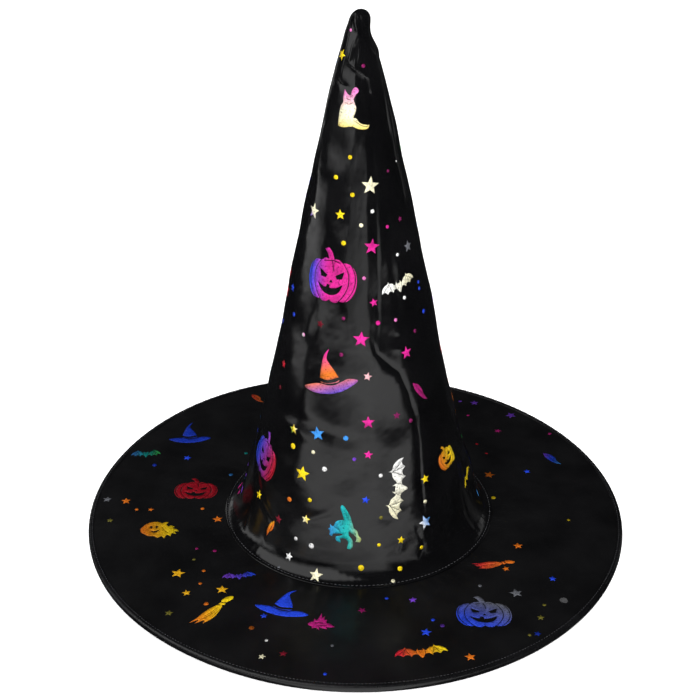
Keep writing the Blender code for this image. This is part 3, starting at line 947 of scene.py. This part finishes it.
def shape_cat_low():
    """A cat walking away down the cloth with its tail up."""
    tail = [(-0.10, 0.34), (-0.10, 0.34), (-0.17, 0.62), (-0.26, 0.92), (-0.22, 1.08), (-0.12, 1.04), (0.02, 0.80), (0.14, 0.52),
            (0.18, 0.30), (0.18, 0.30)]
    body = [(-0.44, 0.26), (-0.30, 0.36), (-0.05, 0.40), (0.16, 0.34), (0.24, 0.14), (0.26, 0.04), (0.40, -0.10), (0.46, -0.32),
            (0.56, -0.46), (0.52, -0.62), (0.52, -0.62), (0.34, -0.60), (0.34, -0.60), (0.38, -0.46), (0.28, -0.28), (0.08, -0.14),
            (0.10, -0.34), (0.22, -0.52), (0.24, -0.82), (0.14, -0.96), (0.02, -0.92), (0.02, -0.92), (0.06, -0.62), (-0.08, -0.46),
            (-0.26, -0.48), (-0.26, -0.48), (-0.22, -0.66), (-0.22, -0.66), (-0.34, -0.64), (-0.44, -0.52), (-0.40, -0.40), (-0.22, -0.34),
            (-0.16, -0.26), (-0.34, -0.26), (-0.52, -0.30), (-0.58, -0.42), (-0.58, -0.42), (-0.68, -0.36), (-0.66, -0.20),
            (-0.74, -0.10), (-0.74, -0.10), (-0.66, -0.02), (-0.66, 0.14), (-0.66, 0.14), (-0.54, 0.04)]
    solid = [curve(tail, 5), curve(body, 4)]
    cut = []
    for i in range(6):
        x = -0.16 + 0.05 * i
        cut.append(stroke([(x, 0.86 - 0.1 * i), (x + 0.05, 0.80 - 0.1 * i), (x + 0.09, 0.78 - 0.1 * i)], 0.014))
    cut.append(stroke(curve([(0.10, -0.10), (0.20, -0.24), (0.34, -0.34)], 6, closed=False), 0.018))
    cut.append(stroke(curve([(-0.50, 0.02), (-0.36, -0.04), (-0.26, -0.16)], 6, closed=False), 0.018))
    return solid, cut


def shape_cat_sit():
    """A cat that sits and waves a paw, its tail along the ground."""
    body = [(-0.36, 0.98), (-0.36, 0.98), (-0.42, 0.62), (-0.40, 0.44), (-0.52, 0.26), (-0.60, -0.10), (-0.62, -0.48), (-0.60, -0.60),
            (-0.30, -0.62), (0.10, -0.56), (0.42, -0.66), (0.78, -0.66), (0.90, -0.50), (0.90, -0.50), (0.70, -0.48), (0.44, -0.40),
            (0.28, -0.22), (0.14, -0.18), (0.20, 0.02), (0.24, 0.24), (0.16, 0.42), (0.10, 0.60), (0.20, 0.82), (0.20, 0.82), (0.30, 0.92),
            (0.26, 1.06), (0.12, 1.10), (0.0, 0.96), (-0.06, 0.76), (-0.16, 0.78), (-0.22, 0.82)]
    solid = [curve(body, 4)]
    cut = [stroke(curve([(-0.30, 0.46), (-0.16, 0.38), (0.0, 0.42), (0.08, 0.50)], 6, closed=False), 0.02),
           stroke(curve([(-0.22, 0.62), (-0.14, 0.56), (-0.06, 0.60)], 6, closed=False), 0.018),
           ellipse(-0.24, 0.70, 0.018, 0.024, 8), ellipse(-0.08, 0.72, 0.018, 0.024, 8),
           stroke(curve([(0.16, -0.30), (0.34, -0.40), (0.56, -0.52), (0.80, -0.56)], 6, closed=False), 0.022),
           stroke(curve([(0.06, 0.98), (0.10, 1.04)], 3, closed=False), 0.012),
           stroke(curve([(0.14, 0.96), (0.18, 1.03)], 3, closed=False), 0.012)]
    return solid, cut


def shape_leaf():
    return [curve([(-0.35, 1.0), (-0.35, 1.0), (0.10, 0.62), (0.30, 0.05), (0.26, -0.4), (0.42, -1.0), (0.42, -1.0), (0.0, -0.66), (-0.28, -0.1),
                   (-0.42, 0.5)])], [stroke([(-0.2, 0.7), (0.02, 0.1), (0.2, -0.5)], 0.03)]


def shape_broom():
    bristle = [(-1.0, -0.40), (-1.0, -0.40), (-0.62, -0.30), (-0.80, -0.50), (-0.80, -0.50), (-0.42, -0.40), (-0.52, -0.60), (-0.52, -0.60),
               (-0.16, -0.42), (0.10, -0.20), (0.32, 0.10), (0.46, 0.36), (0.28, 0.44), (0.02, 0.34), (-0.30, 0.14), (-0.62, -0.14)]
    collar = [(0.34, 0.48), (0.54, 0.34), (0.62, 0.44), (0.44, 0.58)]
    knob = [(0.48, 0.62), (0.66, 0.50), (0.92, 0.62), (1.0, 0.80), (0.80, 0.84), (0.60, 0.76)]
    cut = [stroke([(-0.3, -0.1), (0.0, 0.06), (0.3, 0.32)], 0.022), stroke([(-0.5, -0.3), (-0.1, -0.1), (0.34, 0.24)], 0.022),
           stroke([(-0.1, -0.3), (0.1, -0.08), (0.38, 0.2)], 0.018)]
    return [curve(bristle, 4), np.array(collar), curve(knob, 4)], cut


def shape_spook():
    """A ragged hooded ghost in flight."""
    p = [(-0.80, 0.42), (-0.60, 0.66), (-0.30, 0.78), (0.0, 0.76), (0.18, 0.62), (0.36, 0.70), (0.52, 0.62), (0.52, 0.62), (0.40, 0.50), (0.50, 0.30),
         (0.64, 0.36), (0.80, 0.24), (0.80, 0.24), (0.70, 0.14), (0.92, 0.02), (1.0, -0.16), (1.0, -0.16), (0.80, -0.14), (0.86, -0.36), (0.86, -0.36),
         (0.66, -0.28), (0.58, -0.52), (0.58, -0.52), (0.40, -0.38), (0.26, -0.66), (0.26, -0.66), (0.14, -0.46), (-0.06, -0.56), (-0.24, -0.40),
         (-0.50, -0.36), (-0.70, -0.20), (-0.86, -0.02), (-0.90, 0.22)]
    cut = [ellipse(-0.36, 0.36, 0.07, 0.11, 14, 15), ellipse(-0.08, 0.34, 0.06, 0.10, 14, -10),
           curve([(-0.40, 0.08), (-0.20, 0.0), (0.02, 0.08), (-0.10, -0.10), (-0.28, -0.10)], 4),
           stroke(curve([(0.20, 0.30), (0.30, 0.0), (0.50, -0.2)], 6, closed=False), 0.022)]
    return [curve(p, 4)], cut


def shape_witch_hat():
    cone = [(0.30, 1.0), (0.30, 1.0), (0.05, 0.80), (-0.16, 0.40), (-0.34, -0.12), (-0.20, -0.26), (0.10, -0.32), (0.36, -0.28), (0.30, 0.10),
            (0.16, 0.46), (0.12, 0.70)]
    brim = [(-1.0, -0.26), (-0.70, -0.20), (-0.40, -0.22), (-0.10, -0.36), (0.16, -0.40), (0.42, -0.34), (0.70, -0.30), (1.0, -0.46), (0.70, -0.62),
            (0.20, -0.72), (-0.30, -0.66), (-0.72, -0.50)]
    cut = [curve([(-0.33, -0.02), (-0.05, -0.16), (0.35, -0.14), (0.36, -0.25), (0.1, -0.30), (-0.2, -0.25), (-0.36, -0.13)], 4)]
    return [curve(cone, 4), curve(brim, 4)], cut


def shape_claw():
    p = [(-0.20, 1.0), (-0.20, 1.0), (-0.05, 0.70), (0.20, 0.50), (0.50, 0.10), (0.85, -0.50), (0.85, -0.50), (0.45, -0.30), (0.25, -0.62), (0.15, -0.78),
         (-0.12, -0.90), (-0.12, -0.90), (-0.10, -0.60), (-0.40, -0.70), (-0.40, -0.70), (-0.24, -0.40), (-0.56, -0.44), (-0.56, -0.44),
         (-0.28, -0.18), (-0.60, -0.14), (-0.60, -0.14), (-0.24, 0.06), (-0.52, 0.16), (-0.52, 0.16), (-0.16, 0.28), (-0.40, 0.44), (-0.40, 0.44),
         (-0.10, 0.50)]
    return [curve(p, 4)], [stroke([(0.0, 0.4), (0.1, -0.2), (0.1, -0.6)], 0.03), stroke([(0.14, 0.3), (0.3, -0.1), (0.4, -0.3)], 0.025)]


def shape_flame():
    p = [(-0.95, -0.20), (-0.80, 0.02), (-0.62, 0.10), (-0.66, 0.36), (-0.66, 0.36), (-0.44, 0.24), (-0.36, 0.52), (-0.30, 0.86), (-0.30, 0.86), (-0.14, 0.50),
         (0.0, 0.66), (0.0, 0.66), (0.06, 0.36), (0.26, 0.40), (0.26, 0.40), (0.30, 0.16), (0.60, 0.10), (1.0, -0.08), (1.0, -0.08), (0.66, -0.18),
         (0.40, -0.20), (0.56, -0.34), (0.56, -0.34), (0.20, -0.34), (-0.04, -0.30), (0.02, -0.52), (0.02, -0.52), (-0.24, -0.38), (-0.54, -0.48),
         (-0.54, -0.48), (-0.60, -0.34)]
    cut = [stroke(curve([(-0.5, 0.0), (-0.2, 0.12), (0.1, 0.05)], 6, closed=False), 0.03),
           stroke(curve([(-0.3, -0.2), (0.0, -0.1), (0.4, -0.04)], 6, closed=False), 0.025), ellipse(-0.44, 0.02, 0.04, 0.05, 10)]
    return [curve(p, 4)], cut


def shape_squiggle():
    line = curve([(-1.0, 0.3), (-0.7, 0.02), (-0.3, -0.12), (0.0, 0.14), (0.36, 0.02), (0.66, -0.10), (1.0, 0.16)], 8, closed=False)
    return [stroke(line, 0.26)], []


def shape_streak():
    return [curve([(0.0, 1.0), (0.0, 1.0), (0.16, 0.4), (0.20, -0.2), (0.10, -1.0), (0.10, -1.0), (-0.14, -0.5), (-0.16, 0.2)])], []


def shape_fur():
    p = []
    rng = np.random.default_rng(4)
    for i in range(22):
        t = 2 * math.pi * i / 22
        r = 1.0 if i % 2 == 0 else 0.62
        r *= rng.uniform(0.8, 1.1)
        p.append((r * math.cos(t), 0.62 * r * math.sin(t)))
    return [np.array(p)], []


SHAPES = {
    "star": shape_star(), "dot": shape_dot(), "pumpkin": shape_pumpkin(), "bat": shape_bat(), "halfbat": shape_half_bat(),
    "hair": shape_hat_hair(), "catlow": shape_cat_low(), "catsit": shape_cat_sit(), "leaf": shape_leaf(), "broom": shape_broom(),
    "spook": shape_spook(), "hat": shape_witch_hat(), "claw": shape_claw(), "flame": shape_flame(), "squiggle": shape_squiggle(),
    "streak": shape_streak(), "fur": shape_fur(),
}


def inside(points, loop):
    """Even-odd test of many points against one closed loop."""
    x, y = points[:, 0], points[:, 1]
    result = np.zeros(len(points), dtype=bool)
    x1, y1 = loop[:, 0], loop[:, 1]
    x2, y2 = np.roll(x1, -1), np.roll(y1, -1)
    for a, b, c, d in zip(x1, y1, x2, y2):
        if b == d:
            continue
        hit = ((b > y) != (d > y)) & (x < (c - a) * (y - b) / (d - b) + a)
        result ^= hit
    return result


def split_edges(loop, step):
    out = []
    for p, q in zip(loop, np.roll(loop, -1, axis=0)):
        n = max(1, int(math.ceil(np.linalg.norm(q - p) / step)))
        for i in range(n):
            out.append(p + (q - p) * i / n)
    return np.array(out)


def flat_mesh(shape, sx, sy, step):
    """Triangles of a shape scaled to mm, no edge much longer than step."""
    solids, cuts = SHAPES[shape]
    scale = np.array([sx, sy])
    return flat_mesh_loops([l * scale for l in solids], [l * scale for l in cuts], step)


def flat_mesh_loops(solids, cuts, step):
    loops = [split_edges(l, step) for l in solids]
    holes = [split_edges(l, step) for l in cuts]
    pts, edges = [], []
    for l in loops + holes:
        k = len(pts)
        pts.extend(map(tuple, l))
        edges.extend((k + i, k + (i + 1) % len(l)) for i in range(len(l)))
    allp = np.array(pts)
    lo, hi = allp.min(0), allp.max(0)
    if (hi - lo).max() > 2.2 * step:
        gx = np.arange(lo[0], hi[0], step)
        gy = np.arange(lo[1], hi[1], step * 0.87)
        G = np.array([(x + (0.5 * step if j % 2 else 0.0), y) for j, y in enumerate(gy) for x in gx])
        keep = np.zeros(len(G), dtype=bool)
        for l in loops:
            keep |= inside(G, l)
        G = G[keep]
        if len(G):
            d = np.full(len(G), 1e9)
            for i in range(0, len(allp), 400):
                d = np.minimum(d, np.linalg.norm(G[:, None, :] - allp[None, i:i + 400, :], axis=2).min(1))
            pts.extend(map(tuple, G[d > 0.4 * step]))
    out = delaunay_2d_cdt([Vector(p) for p in pts], edges, [], 0, 1e-5, False)
    v = np.array([(p.x, p.y) for p in out[0]])
    tri = np.array([f for f in out[2] if len(f) == 3])
    c = v[tri].mean(axis=1)
    keep = np.zeros(len(tri), dtype=bool)
    for l in loops:
        keep |= inside(c, l)
    for l in holes:
        keep &= ~inside(c, l)
    tri = tri[keep]
    e1, e2 = v[tri[:, 1]] - v[tri[:, 0]], v[tri[:, 2]] - v[tri[:, 0]]
    area = e1[:, 0] * e2[:, 1] - e1[:, 1] * e2[:, 0]
    tri[area < 0] = tri[area < 0][:, ::-1]
    tri = tri[np.abs(area) > 1e-5]
    used = np.unique(tri)
    index = -np.ones(len(v), dtype=int)
    index[used] = np.arange(len(used))
    return v[used], index[tri]


def gradient(points, sx, sy, names, direction):
    """Colour of each point: the named colours in turn along a direction across the shape."""
    names = TWO.get(names, [names]) if isinstance(names, str) else names
    cols = np.array([PAL[n] if isinstance(n, str) else n for n in names])
    if len(cols) == 1:
        return np.tile(cols[0], (len(points), 1))
    d = math.radians(direction)
    t = (points[:, 0] / sx * math.cos(d) + points[:, 1] / sy * math.sin(d)) * 0.5 + 0.5
    t = np.clip(t, 0, 1) * (len(cols) - 1)
    i = np.clip(t.astype(int), 0, len(cols) - 2)
    f = smooth01(t - i)[:, None]
    return cols[i] * (1 - f) + cols[i + 1] * f


class Print:
    """Collects printed shapes on one surface and makes them one foil piece."""

    def __init__(self, place, lift):
        self.place, self.lift = place, lift
        self.verts, self.tris, self.cols, self.count = [], [], [], 0

    def stamp(self, shape, u, v, sx, sy, turn, names, direction=0.0, step=1.5, level=1.0):
        flat, tri = flat_mesh(shape, sx, sy, step)
        col = gradient(flat, sx, sy, names, direction) * level
        c, s = math.cos(math.radians(turn)), math.sin(math.radians(turn))
        local = np.stack([flat[:, 0] * c - flat[:, 1] * s, flat[:, 0] * s + flat[:, 1] * c], axis=1)
        self.add(flat, tri, col, lambda lift: self.place(u, v, local, lift))

    def add(self, flat, tri, col, place):
        top = place(self.lift)
        low = place(0.0)
        # skirt round every open edge
        e = np.concatenate([tri[:, [0, 1]], tri[:, [1, 2]], tri[:, [2, 0]]])
        key = np.sort(e, axis=1)
        _, inv, uses = np.unique(key, axis=0, return_inverse=True, return_counts=True)
        rim = e[uses[inv.ravel()] == 1]
        rim_v = np.unique(rim)
        remap = -np.ones(len(flat), dtype=int)
        remap[rim_v] = len(flat) + np.arange(len(rim_v))
        sk = np.concatenate([
            np.stack([rim[:, 1], rim[:, 0], remap[rim[:, 0]]], axis=1),
            np.stack([rim[:, 1], remap[rim[:, 0]], remap[rim[:, 1]]], axis=1),
        ])
        self.verts.append(np.concatenate([top, low[rim_v]]))
        # the skirt's lower edge, where the foil meets the cloth, takes half the print colour: painted shade at the foot
        # of the foil
        self.cols.append(np.concatenate([col, col[rim_v] * 0.5]))
        self.tris.append(np.concatenate([tri, sk]) + self.count)
        self.count += len(top) + len(rim_v)

    def make(self, name, mat):
        obj = mesh_object(name, np.concatenate(self.verts), np.concatenate(self.tris), mat,
                          colours=np.concatenate(self.cols))
        return obj


def on_crown(a, s, local, lift):
    ss = s + local[:, 1]
    r = np.maximum(radius_at(ss), 4.0)
    aa = a + np.degrees(local[:, 0] / r)
    return crown_point(aa, ss, lift)


def on_brim(x, y, local, lift):
    return brim_point(x + local[:, 0], y + local[:, 1], lift)


crown_print = Print(on_crown, 0.07)
brim_print = Print(on_brim, 0.06)

STARS_CROWN = [
    (-60.1, 344.0, 3.6, "Y"), (13.1, 267.2, 5.8, "C"), (-54.5, 246.5, 5.2, "VC"), (-19.9, 248.8, 3.4, "Y"), (46.6, 242.7, 1.9, "DM"),
    (11.9, 229.2, 5.1, "M"), (52.6, 223.6, 3.9, "GY"), (-69.0, 190.6, 2.8, "B"), (11.8, 193.3, 2.9, "M"), (-30.7, 176.7, 2.7, "DR"),
    (1.3, 170.0, 5.3, "M"), (35.1, 156.4, 4.4, "M"), (-61.8, 138.8, 2.9, "R"), (5.5, 145.2, 3.0, "SP"), (23.8, 116.0, 2.8, "DM"),
    (5.4, 113.9, 4.4, "M"), (-40.6, 101.5, 3.5, "GY2"), (-24.6, 103.8, 4.9, "LB"), (5.0, 92.1, 3.1, "M"), (-31.3, 73.8, 5.3, "Y"),
    (37.5, 66.7, 3.3, "Y"), (-61.2, 40.2, 3.4, "Y"), (3.2, 61.2, 2.8, "B"), (-27.0, 42.3, 3.3, "CY"), (-42.9, 34.3, 3.3, "DR"),
    (33.9, 37.0, 5.0, "WB"), (19.9, 30.0, 2.8, "Y"), (-33.0, 12.9, 3.1, "W"), (-18.7, 5.9, 4.9, "C"),
]
DOTS_CROWN = [
    (-39.6, 359.5, 0.9, "P"), (11.6, 339.0, 1.2, "DM"), (-11.8, 284.7, 1.3, "Y"), (-28.3, 271.5, 1.4, "Y"), (-7.4, 261.8, 1.4, "Y"),
    (58.4, 277.9, 0.6, "W"), (39.3, 274.2, 0.9, "DM"), (14.4, 251.2, 1.3, "W"), (2.0, 243.0, 1.3, "C"), (29.8, 240.1, 1.1, "M"),
    (-14.5, 231.5, 1.5, "Y"), (37.1, 221.2, 1.1, "W"), (4.1, 209.6, 1.2, "P"), (59.7, 197.5, 1.1, "B"), (59.3, 193.2, 1.2, "B"),
    (60.6, 176.9, 1.5, "B"), (39.9, 192.2, 1.2, "W"), (-59.6, 175.0, 1.5, "B"), (-79.3, 162.2, 1.5, "B"), (-11.8, 183.3, 1.1, "DM"),
    (29.2, 179.6, 1.2, "P"), (46.0, 168.1, 1.2, "DM"), (14.4, 179.8, 1.5, "M"), (-44.9, 165.9, 1.2, "WP"), (-12.6, 159.2, 1.3, "DM"),
    (-60.5, 122.4, 1.4, "DR"), (33.0, 109.9, 1.4, "DM"), (-7.8, 103.4, 1.7, "LB"), (-39.9, 89.6, 2.0, "Y"), (-26.2, 90.6, 1.3, "C"),
    (-2.8, 89.3, 1.2, "V"), (-18.8, 80.7, 1.7, "W"), (11.5, 77.2, 1.3, "W"), (-37.5, 52.2, 1.7, "O"), (-25.6, 57.0, 1.5, "Y"),
    (35.7, 51.1, 1.3, "C"), (10.7, 47.9, 1.3, "OL"), (-31.0, 26.8, 1.3, "W"), (-22.6, 25.1, 1.8, "W"), (9.1, 29.1, 1.2, "Y"),
    (29.8, 20.9, 1.4, "Y"), (17.9, 10.7, 1.7, "Y"), (0.7, 13.8, 2.0, "Y"), (13.9, 3.4, 1.3, "C"), (-35.9, 3.6, 1.0, "GY"),
]
STARS_BRIM = [
    (-128, 62, 3.1, "B"), (-180, 6, 3.3, "GY"), (-166, 4, 3.6, "O"), (-147, -6, 2.2, "O"), (-174, -20, 2.5, "OL"), (-98, -17, 3.9, "O"),
    (-119, -80, 5.0, "G"), (-88, -97, 4.3, "G"), (-111, -101, 3.1, "G"), (-120, -122, 2.9, "OL"), (-59, -124, 2.6, "B"), (-58, -163, 2.5, "C"),
    (-45, -160, 2.8, "DR"), (70, -162, 3.7, "O"), (44, -139, 3.8, "B"), (37, -107, 2.9, "V"), (105, -100, 4.6, "GY"), (118, -125, 2.6, "OL"),
    (112, -48, 3.5, "O"), (101, -74, 2.7, "O"), (131, -85, 2.7, "B"), (129, 44, 2.6, "B"),
]
DOTS_BRIM = [
    (-157, -6, 1.3, "O"), (-110, -4, 1.4, "O"), (-110, -64, 1.2, "OL"), (-102, -77, 1.3, "O"), (-103, -91, 1.2, "O"), (-97, -112, 1.6, "O"),
    (-89, -15, 1.3, "W"), (-56, -148, 1.1, "W"), (-15, -152, 1.1, "GY"), (49, -127, 1.3, "B"), (82, -92, 1.3, "GY"), (122, -112, 1.2, "OL"),
    (109, -141, 1.1, "OL"), (-19, -178, 1.1, "B"), (20, -105, 1.2, "B"),
]
for i, (a, s, r, c) in enumerate(STARS_CROWN):
    crown_print.stamp("star", a, s, r, r, (i * 37) % 30 - 15, c, 10 + (i * 53) % 60)
for a, s, r, c in DOTS_CROWN:
    crown_print.stamp("dot", a, s, r, r, 0, c, 30)
for i, (x, y, r, c) in enumerate(STARS_BRIM):
    brim_print.stamp("star", x, y, r, r * 1.02, (i * 41) % 30 - 15, c, 10, level=0.8)
for x, y, r, c in DOTS_BRIM:
    brim_print.stamp("dot", x, y, r, r, 0, c, 30, level=0.7)

PAL.update({
    "TN": srgb(200, 182, 138), "DB2": srgb(30, 44, 140), "DB3": srgb(22, 26, 84), "DR2": srgb(74, 16, 28), "O2": srgb(196, 124, 30),
    "GYD": srgb(74, 76, 84), "PV": srgb(214, 120, 246), "VD": srgb(66, 26, 130), "CR": srgb(255, 250, 225), "LV": srgb(150, 140, 215),
    "DG": srgb(10, 52, 40), "DMD": srgb(84, 22, 52), "BRD": srgb(96, 64, 20),
})

# Larger motifs: generic shapes from the library above, scattered over the cloth.
# (shape, a deg or x mm, s mm or y mm, half width mm, half height mm, turn, colours, run of the colours, level)
CROWN_MOTIFS = [
    ("catsit", -14, 311, 13, 14, 0, ["Y", "C", "P"], 90, 1.0),
    ("pumpkin", -24.5, 207, 17, 18, 0, ["B", "M", "M"], 0, 0.8),
    ("bat", 36, 201, 12, 9, 10, ["W", "C"], 0, 1.0),
    ("hat", -21, 144, 18, 17, 20, ["B", "O", "M"], 90, 0.95),
    ("leaf", 43, 127, 7, 9, 20, ["M"], 0, 0.45),
    ("pumpkin", -63, 68, 16, 17, -8, ["B", "R"], 0, 0.8),
    ("leaf", -47, 25, 7, 6, -40, ["Y", "O", "R"], 0, 1.0),
    ("catlow", -6, 41, 17, 15, 0, ["LB", "T", "Y"], 0, 0.9),
    ("bat", 21, 66, 19, 13, 80, ["C", "W"], 0, 0.95),
    ("pumpkin", 57, 72, 9, 9, 12, ["O", "Y"], 0, 0.9),
    ("bat", 76, 42, 8, 6, 20, ["Y"], 0, 0.9),
]
BRIM_MOTIFS = [
    ("leaf", -80, 150, 9, 7, 15, ["R", "O"], 0, 0.35),
    ("hat", -130, 94, 16, 16, 12, ["B"], 0, 0.35),
    ("pumpkin", -117, 19, 16, 14, 0, ["R"], 0, 0.35),
    ("spook", -138, -32, 14, 14, 8, ["O", "Y"], 0, 0.55),
    ("bat", -78, -82, 10, 7, 10, ["V", "B"], 0, 0.5),
    ("broom", -92, -121, 17, 15, 20, ["O", "Y"], 0, 0.9),
    ("hat", -47, -112, 18, 16, -10, ["B"], 0, 0.75),
    ("flame", -22, -131, 9, 12, -15, ["M"], 0, 0.5),
    ("bat", 40, -158, 15, 10, 10, ["R", "O", "Y"], 0, 0.85),
    ("pumpkin", 82, -121, 18, 16, 0, ["B", "GY"], 60, 0.65),
    ("broom", 92, -70, 13, 12, -25, ["R", "O"], 0, 0.75),
]
for shape, u, v, sx, sy, turn, names, run, level in CROWN_MOTIFS:
    crown_print.stamp(shape, u, v, sx, sy, turn, names, run, step=1.8, level=level)
for shape, u, v, sx, sy, turn, names, run, level in BRIM_MOTIFS:
    brim_print.stamp(shape, u, v, sx, sy, turn, names, run, step=2.0, level=level)

# the same kinds of shapes carry on round the back
RAINBOW = ["M", "V", "B", "LB", "T", "GR", "Y", "O", "R"]
order = ["pumpkin", "bat", "hat", "catsit", "broom", "spook", "leaf", "catlow", "flame", "bat"]
placed = [(item[1], item[2], 22.0) for item in CROWN_MOTIFS]
k = 0
for s in (296, 246, 200, 152, 108, 64, 24):
    r = float(radius_at(s))
    n = max(1, int(math.radians(168) * r / 52.0))
    for i in range(n):
        a = 98 + (i + 0.5 + 0.25 * math.sin(s)) * 164.0 / n
        size = float(RNG.uniform(15, 21)) * (0.62 if s > 280 or s < 30 else 1.0)
        size = min(size, r * 0.9)
        c0 = int((a * 0.03 + s * 0.04) % len(RAINBOW))
        names = [RAINBOW[(c0 + j) % len(RAINBOW)] for j in range(3)]
        crown_print.stamp(order[k % len(order)], a, s, size, size * (0.9 if s > 30 else 0.55), float(RNG.uniform(-25, 25)), names,
                          float(RNG.uniform(-60, 60)), step=1.8)
        placed.append((a, s, size + 3))
        k += 1
tries = 0
small = 0
while small < 90 and tries < 4000:
    tries += 1
    a = float(RNG.uniform(86, 278))
    s = float(RNG.uniform(6, 350))
    r = float(radius_at(s))
    if r * math.radians(192) < 8:
        continue
    if RNG.uniform() > r / 80.0:
        continue
    if any(math.hypot(math.radians((a - pa + 180) % 360 - 180) * r, s - ps) < pr + 4 for pa, ps, pr in placed):
        continue
    c = RAINBOW[int((a * 0.03 + s * 0.04 + RNG.uniform(0, 2)) % len(RAINBOW))]
    if RNG.uniform() < 0.45:
        size = float(RNG.uniform(2.6, 5.0))
        crown_print.stamp("star", a, s, size, size, float(RNG.uniform(-30, 30)), c)
    else:
        size = float(RNG.uniform(1.1, 1.9))
        crown_print.stamp("dot", a, s, size, size, 0, c)
    placed.append((a, s, size))
    small += 1

placed = [(item[1], item[2], 24.0) for item in BRIM_MOTIFS] + [(x, y, 6.0) for x, y, *_ in STARS_BRIM]
for i, (x, y, size) in enumerate([(-30, 140, 17), (22, 158, 16), (64, 128, 16), (-34, 118, 9), (14, 120, 10), (150, 62, 10),
                                  (-160, 66, 10), (-6, 172, 8)]):
    names = [RAINBOW[(i * 2 + j) % len(RAINBOW)] for j in range(3)]
    brim_print.stamp(order[(i * 3 + 1) % len(order)], x, y, size, size * 0.9, float(RNG.uniform(-40, 40)), names,
                     float(RNG.uniform(-60, 60)), step=1.8, level=0.28)
    placed.append((x, y, size + 3))
tries = small = 0
while small < 46 and tries < 3000:
    tries += 1
    r = math.sqrt(RNG.uniform(100**2, 182**2))
    q = RNG.uniform(0, 2 * math.pi)
    x, y = r * math.cos(q), r * math.sin(q)
    if any(math.hypot(x - px, y - py) < pr + 4 for px, py, pr in placed):
        continue
    if y < 60 and small % 3:
        small += 1
        continue
    c = RAINBOW[int((x * 0.02 + y * 0.03 + 40) % len(RAINBOW))]
    if RNG.uniform() < 0.5:
        size = float(RNG.uniform(2.4, 4.6))
        brim_print.stamp("star", x, y, size, size, float(RNG.uniform(-30, 30)), c, level=0.28)
    else:
        size = float(RNG.uniform(1.1, 1.8))
        brim_print.stamp("dot", x, y, size, size, 0, c, level=0.28)
    placed.append((x, y, size))
    small += 1

crown_foil = crown_print.make("crown_foil_print", FOIL)
brim_foil = brim_print.make("brim_foil_print", FOIL_BRIM)
print("foil faces", len(crown_foil.data.polygons), len(brim_foil.data.polygons))


# =====================================================================================
# Floor and light
# =====================================================================================
def stage_plane(name, points, height, glow, glossy, pale=0.88):
    n = Nodes(name)
    tone = n.noise(3.0, 2.0, 0.5)
    ramp = n.ramp(tone, "Fac", [(0.2, (pale, pale, pale)), (0.8, (pale + 0.03, pale + 0.03, pale + 0.03))])
    n.wire(ramp, "Color", n.shader, "Base Color")
    n.shader.inputs["Roughness"].default_value = 0.9
    n.shader.inputs["Specular IOR Level"].default_value = 0.1
    n.shader.inputs["Emission Color"].default_value = (1.0, 1.0, 1.0, 1.0)
    n.shader.inputs["Emission Strength"].default_value = glow
    mesh = bpy.data.meshes.new(name)
    mesh.from_pydata([(x, y, height) for x, y in points], [], [tuple(range(len(points)))])
    mesh.materials.append(n.mat)
    obj = link(bpy.data.objects.new(name, mesh))
    obj.visible_glossy = glossy
    return obj


front = stage_plane("floor_front", [(-0.10, -0.19), (-0.20, -0.20), (-0.36, -0.215), (-0.80, -0.34), (-1.15, -0.48), (-1.0, -0.85),
                                    (-0.62, -1.15), (0.66, -1.15), (0.95, -0.80), (0.80, -0.44), (0.36, -0.255), (0.20, -0.20),
                                    (0.10, -0.19)],
                    0.0, 0.25, True, 0.52)
front.visible_camera = False
front.visible_shadow = False
front.visible_diffuse = False
FAR = 12.0
stage_plane("floor", [(-FAR, -FAR), (FAR, -FAR), (FAR, FAR), (-FAR, FAR)], -0.0004, 0.60, False)


def area(name, location, target, size_x, size_y, radiance, glossy=True, diffuse=True):
    data = bpy.data.lights.new(name, "AREA")
    data.shape = "RECTANGLE"
    data.size, data.size_y = size_x, size_y
    data.energy = radiance * math.pi * size_x * size_y
    obj = link(bpy.data.objects.new(name, data))
    obj.location = location
    obj.rotation_euler = (Vector(target) - Vector(location)).to_track_quat("-Z", "Y").to_euler()
    obj.visible_camera = False
    obj.visible_glossy = glossy
    obj.visible_diffuse = diffuse
    return obj


area("top_soft", (0.0, 0.2, 2.4), (0, 0.2, 0), 3.2, 3.0, 3.0, glossy=False)
area("front_fill", (0.0, -1.9, 1.1), (0, 0, 0.15), 2.2, 1.4, 5.0, glossy=False)
area("front_panel", (0.225, -1.17, 0.19), (0.225, 0, 0.19), 0.55, 0.38, 0.85)
area("front_panel_dim", (-0.22, -1.17, 0.19), (-0.22, 0, 0.19), 0.34, 0.38, 0.5)
area("flare_box", (-0.94, -0.66, 0.98), (0, 0, 0.02), 2.2, 1.35, 1.3, diffuse=False)
area("left_panel", (-1.05, 0.10, 0.075), (0.0, 0.0, 0.10), 0.8, 0.15, 1.2)
area("left_strip", (-0.9, 1.15, 0.4), (0, 0, 0.18), 0.16, 0.8, 0.9)
area("right_strip", (1.05, 0.72, 0.35), (0, 0, 0.18), 0.12, 0.7, 0.6)

world = bpy.data.worlds.new("studio")
bpy.context.scene.world = world
world.use_nodes = True
world.node_tree.nodes["Background"].inputs["Color"].default_value = (0.012, 0.012, 0.013, 1)
world.node_tree.nodes["Background"].inputs["Strength"].default_value = 1.0
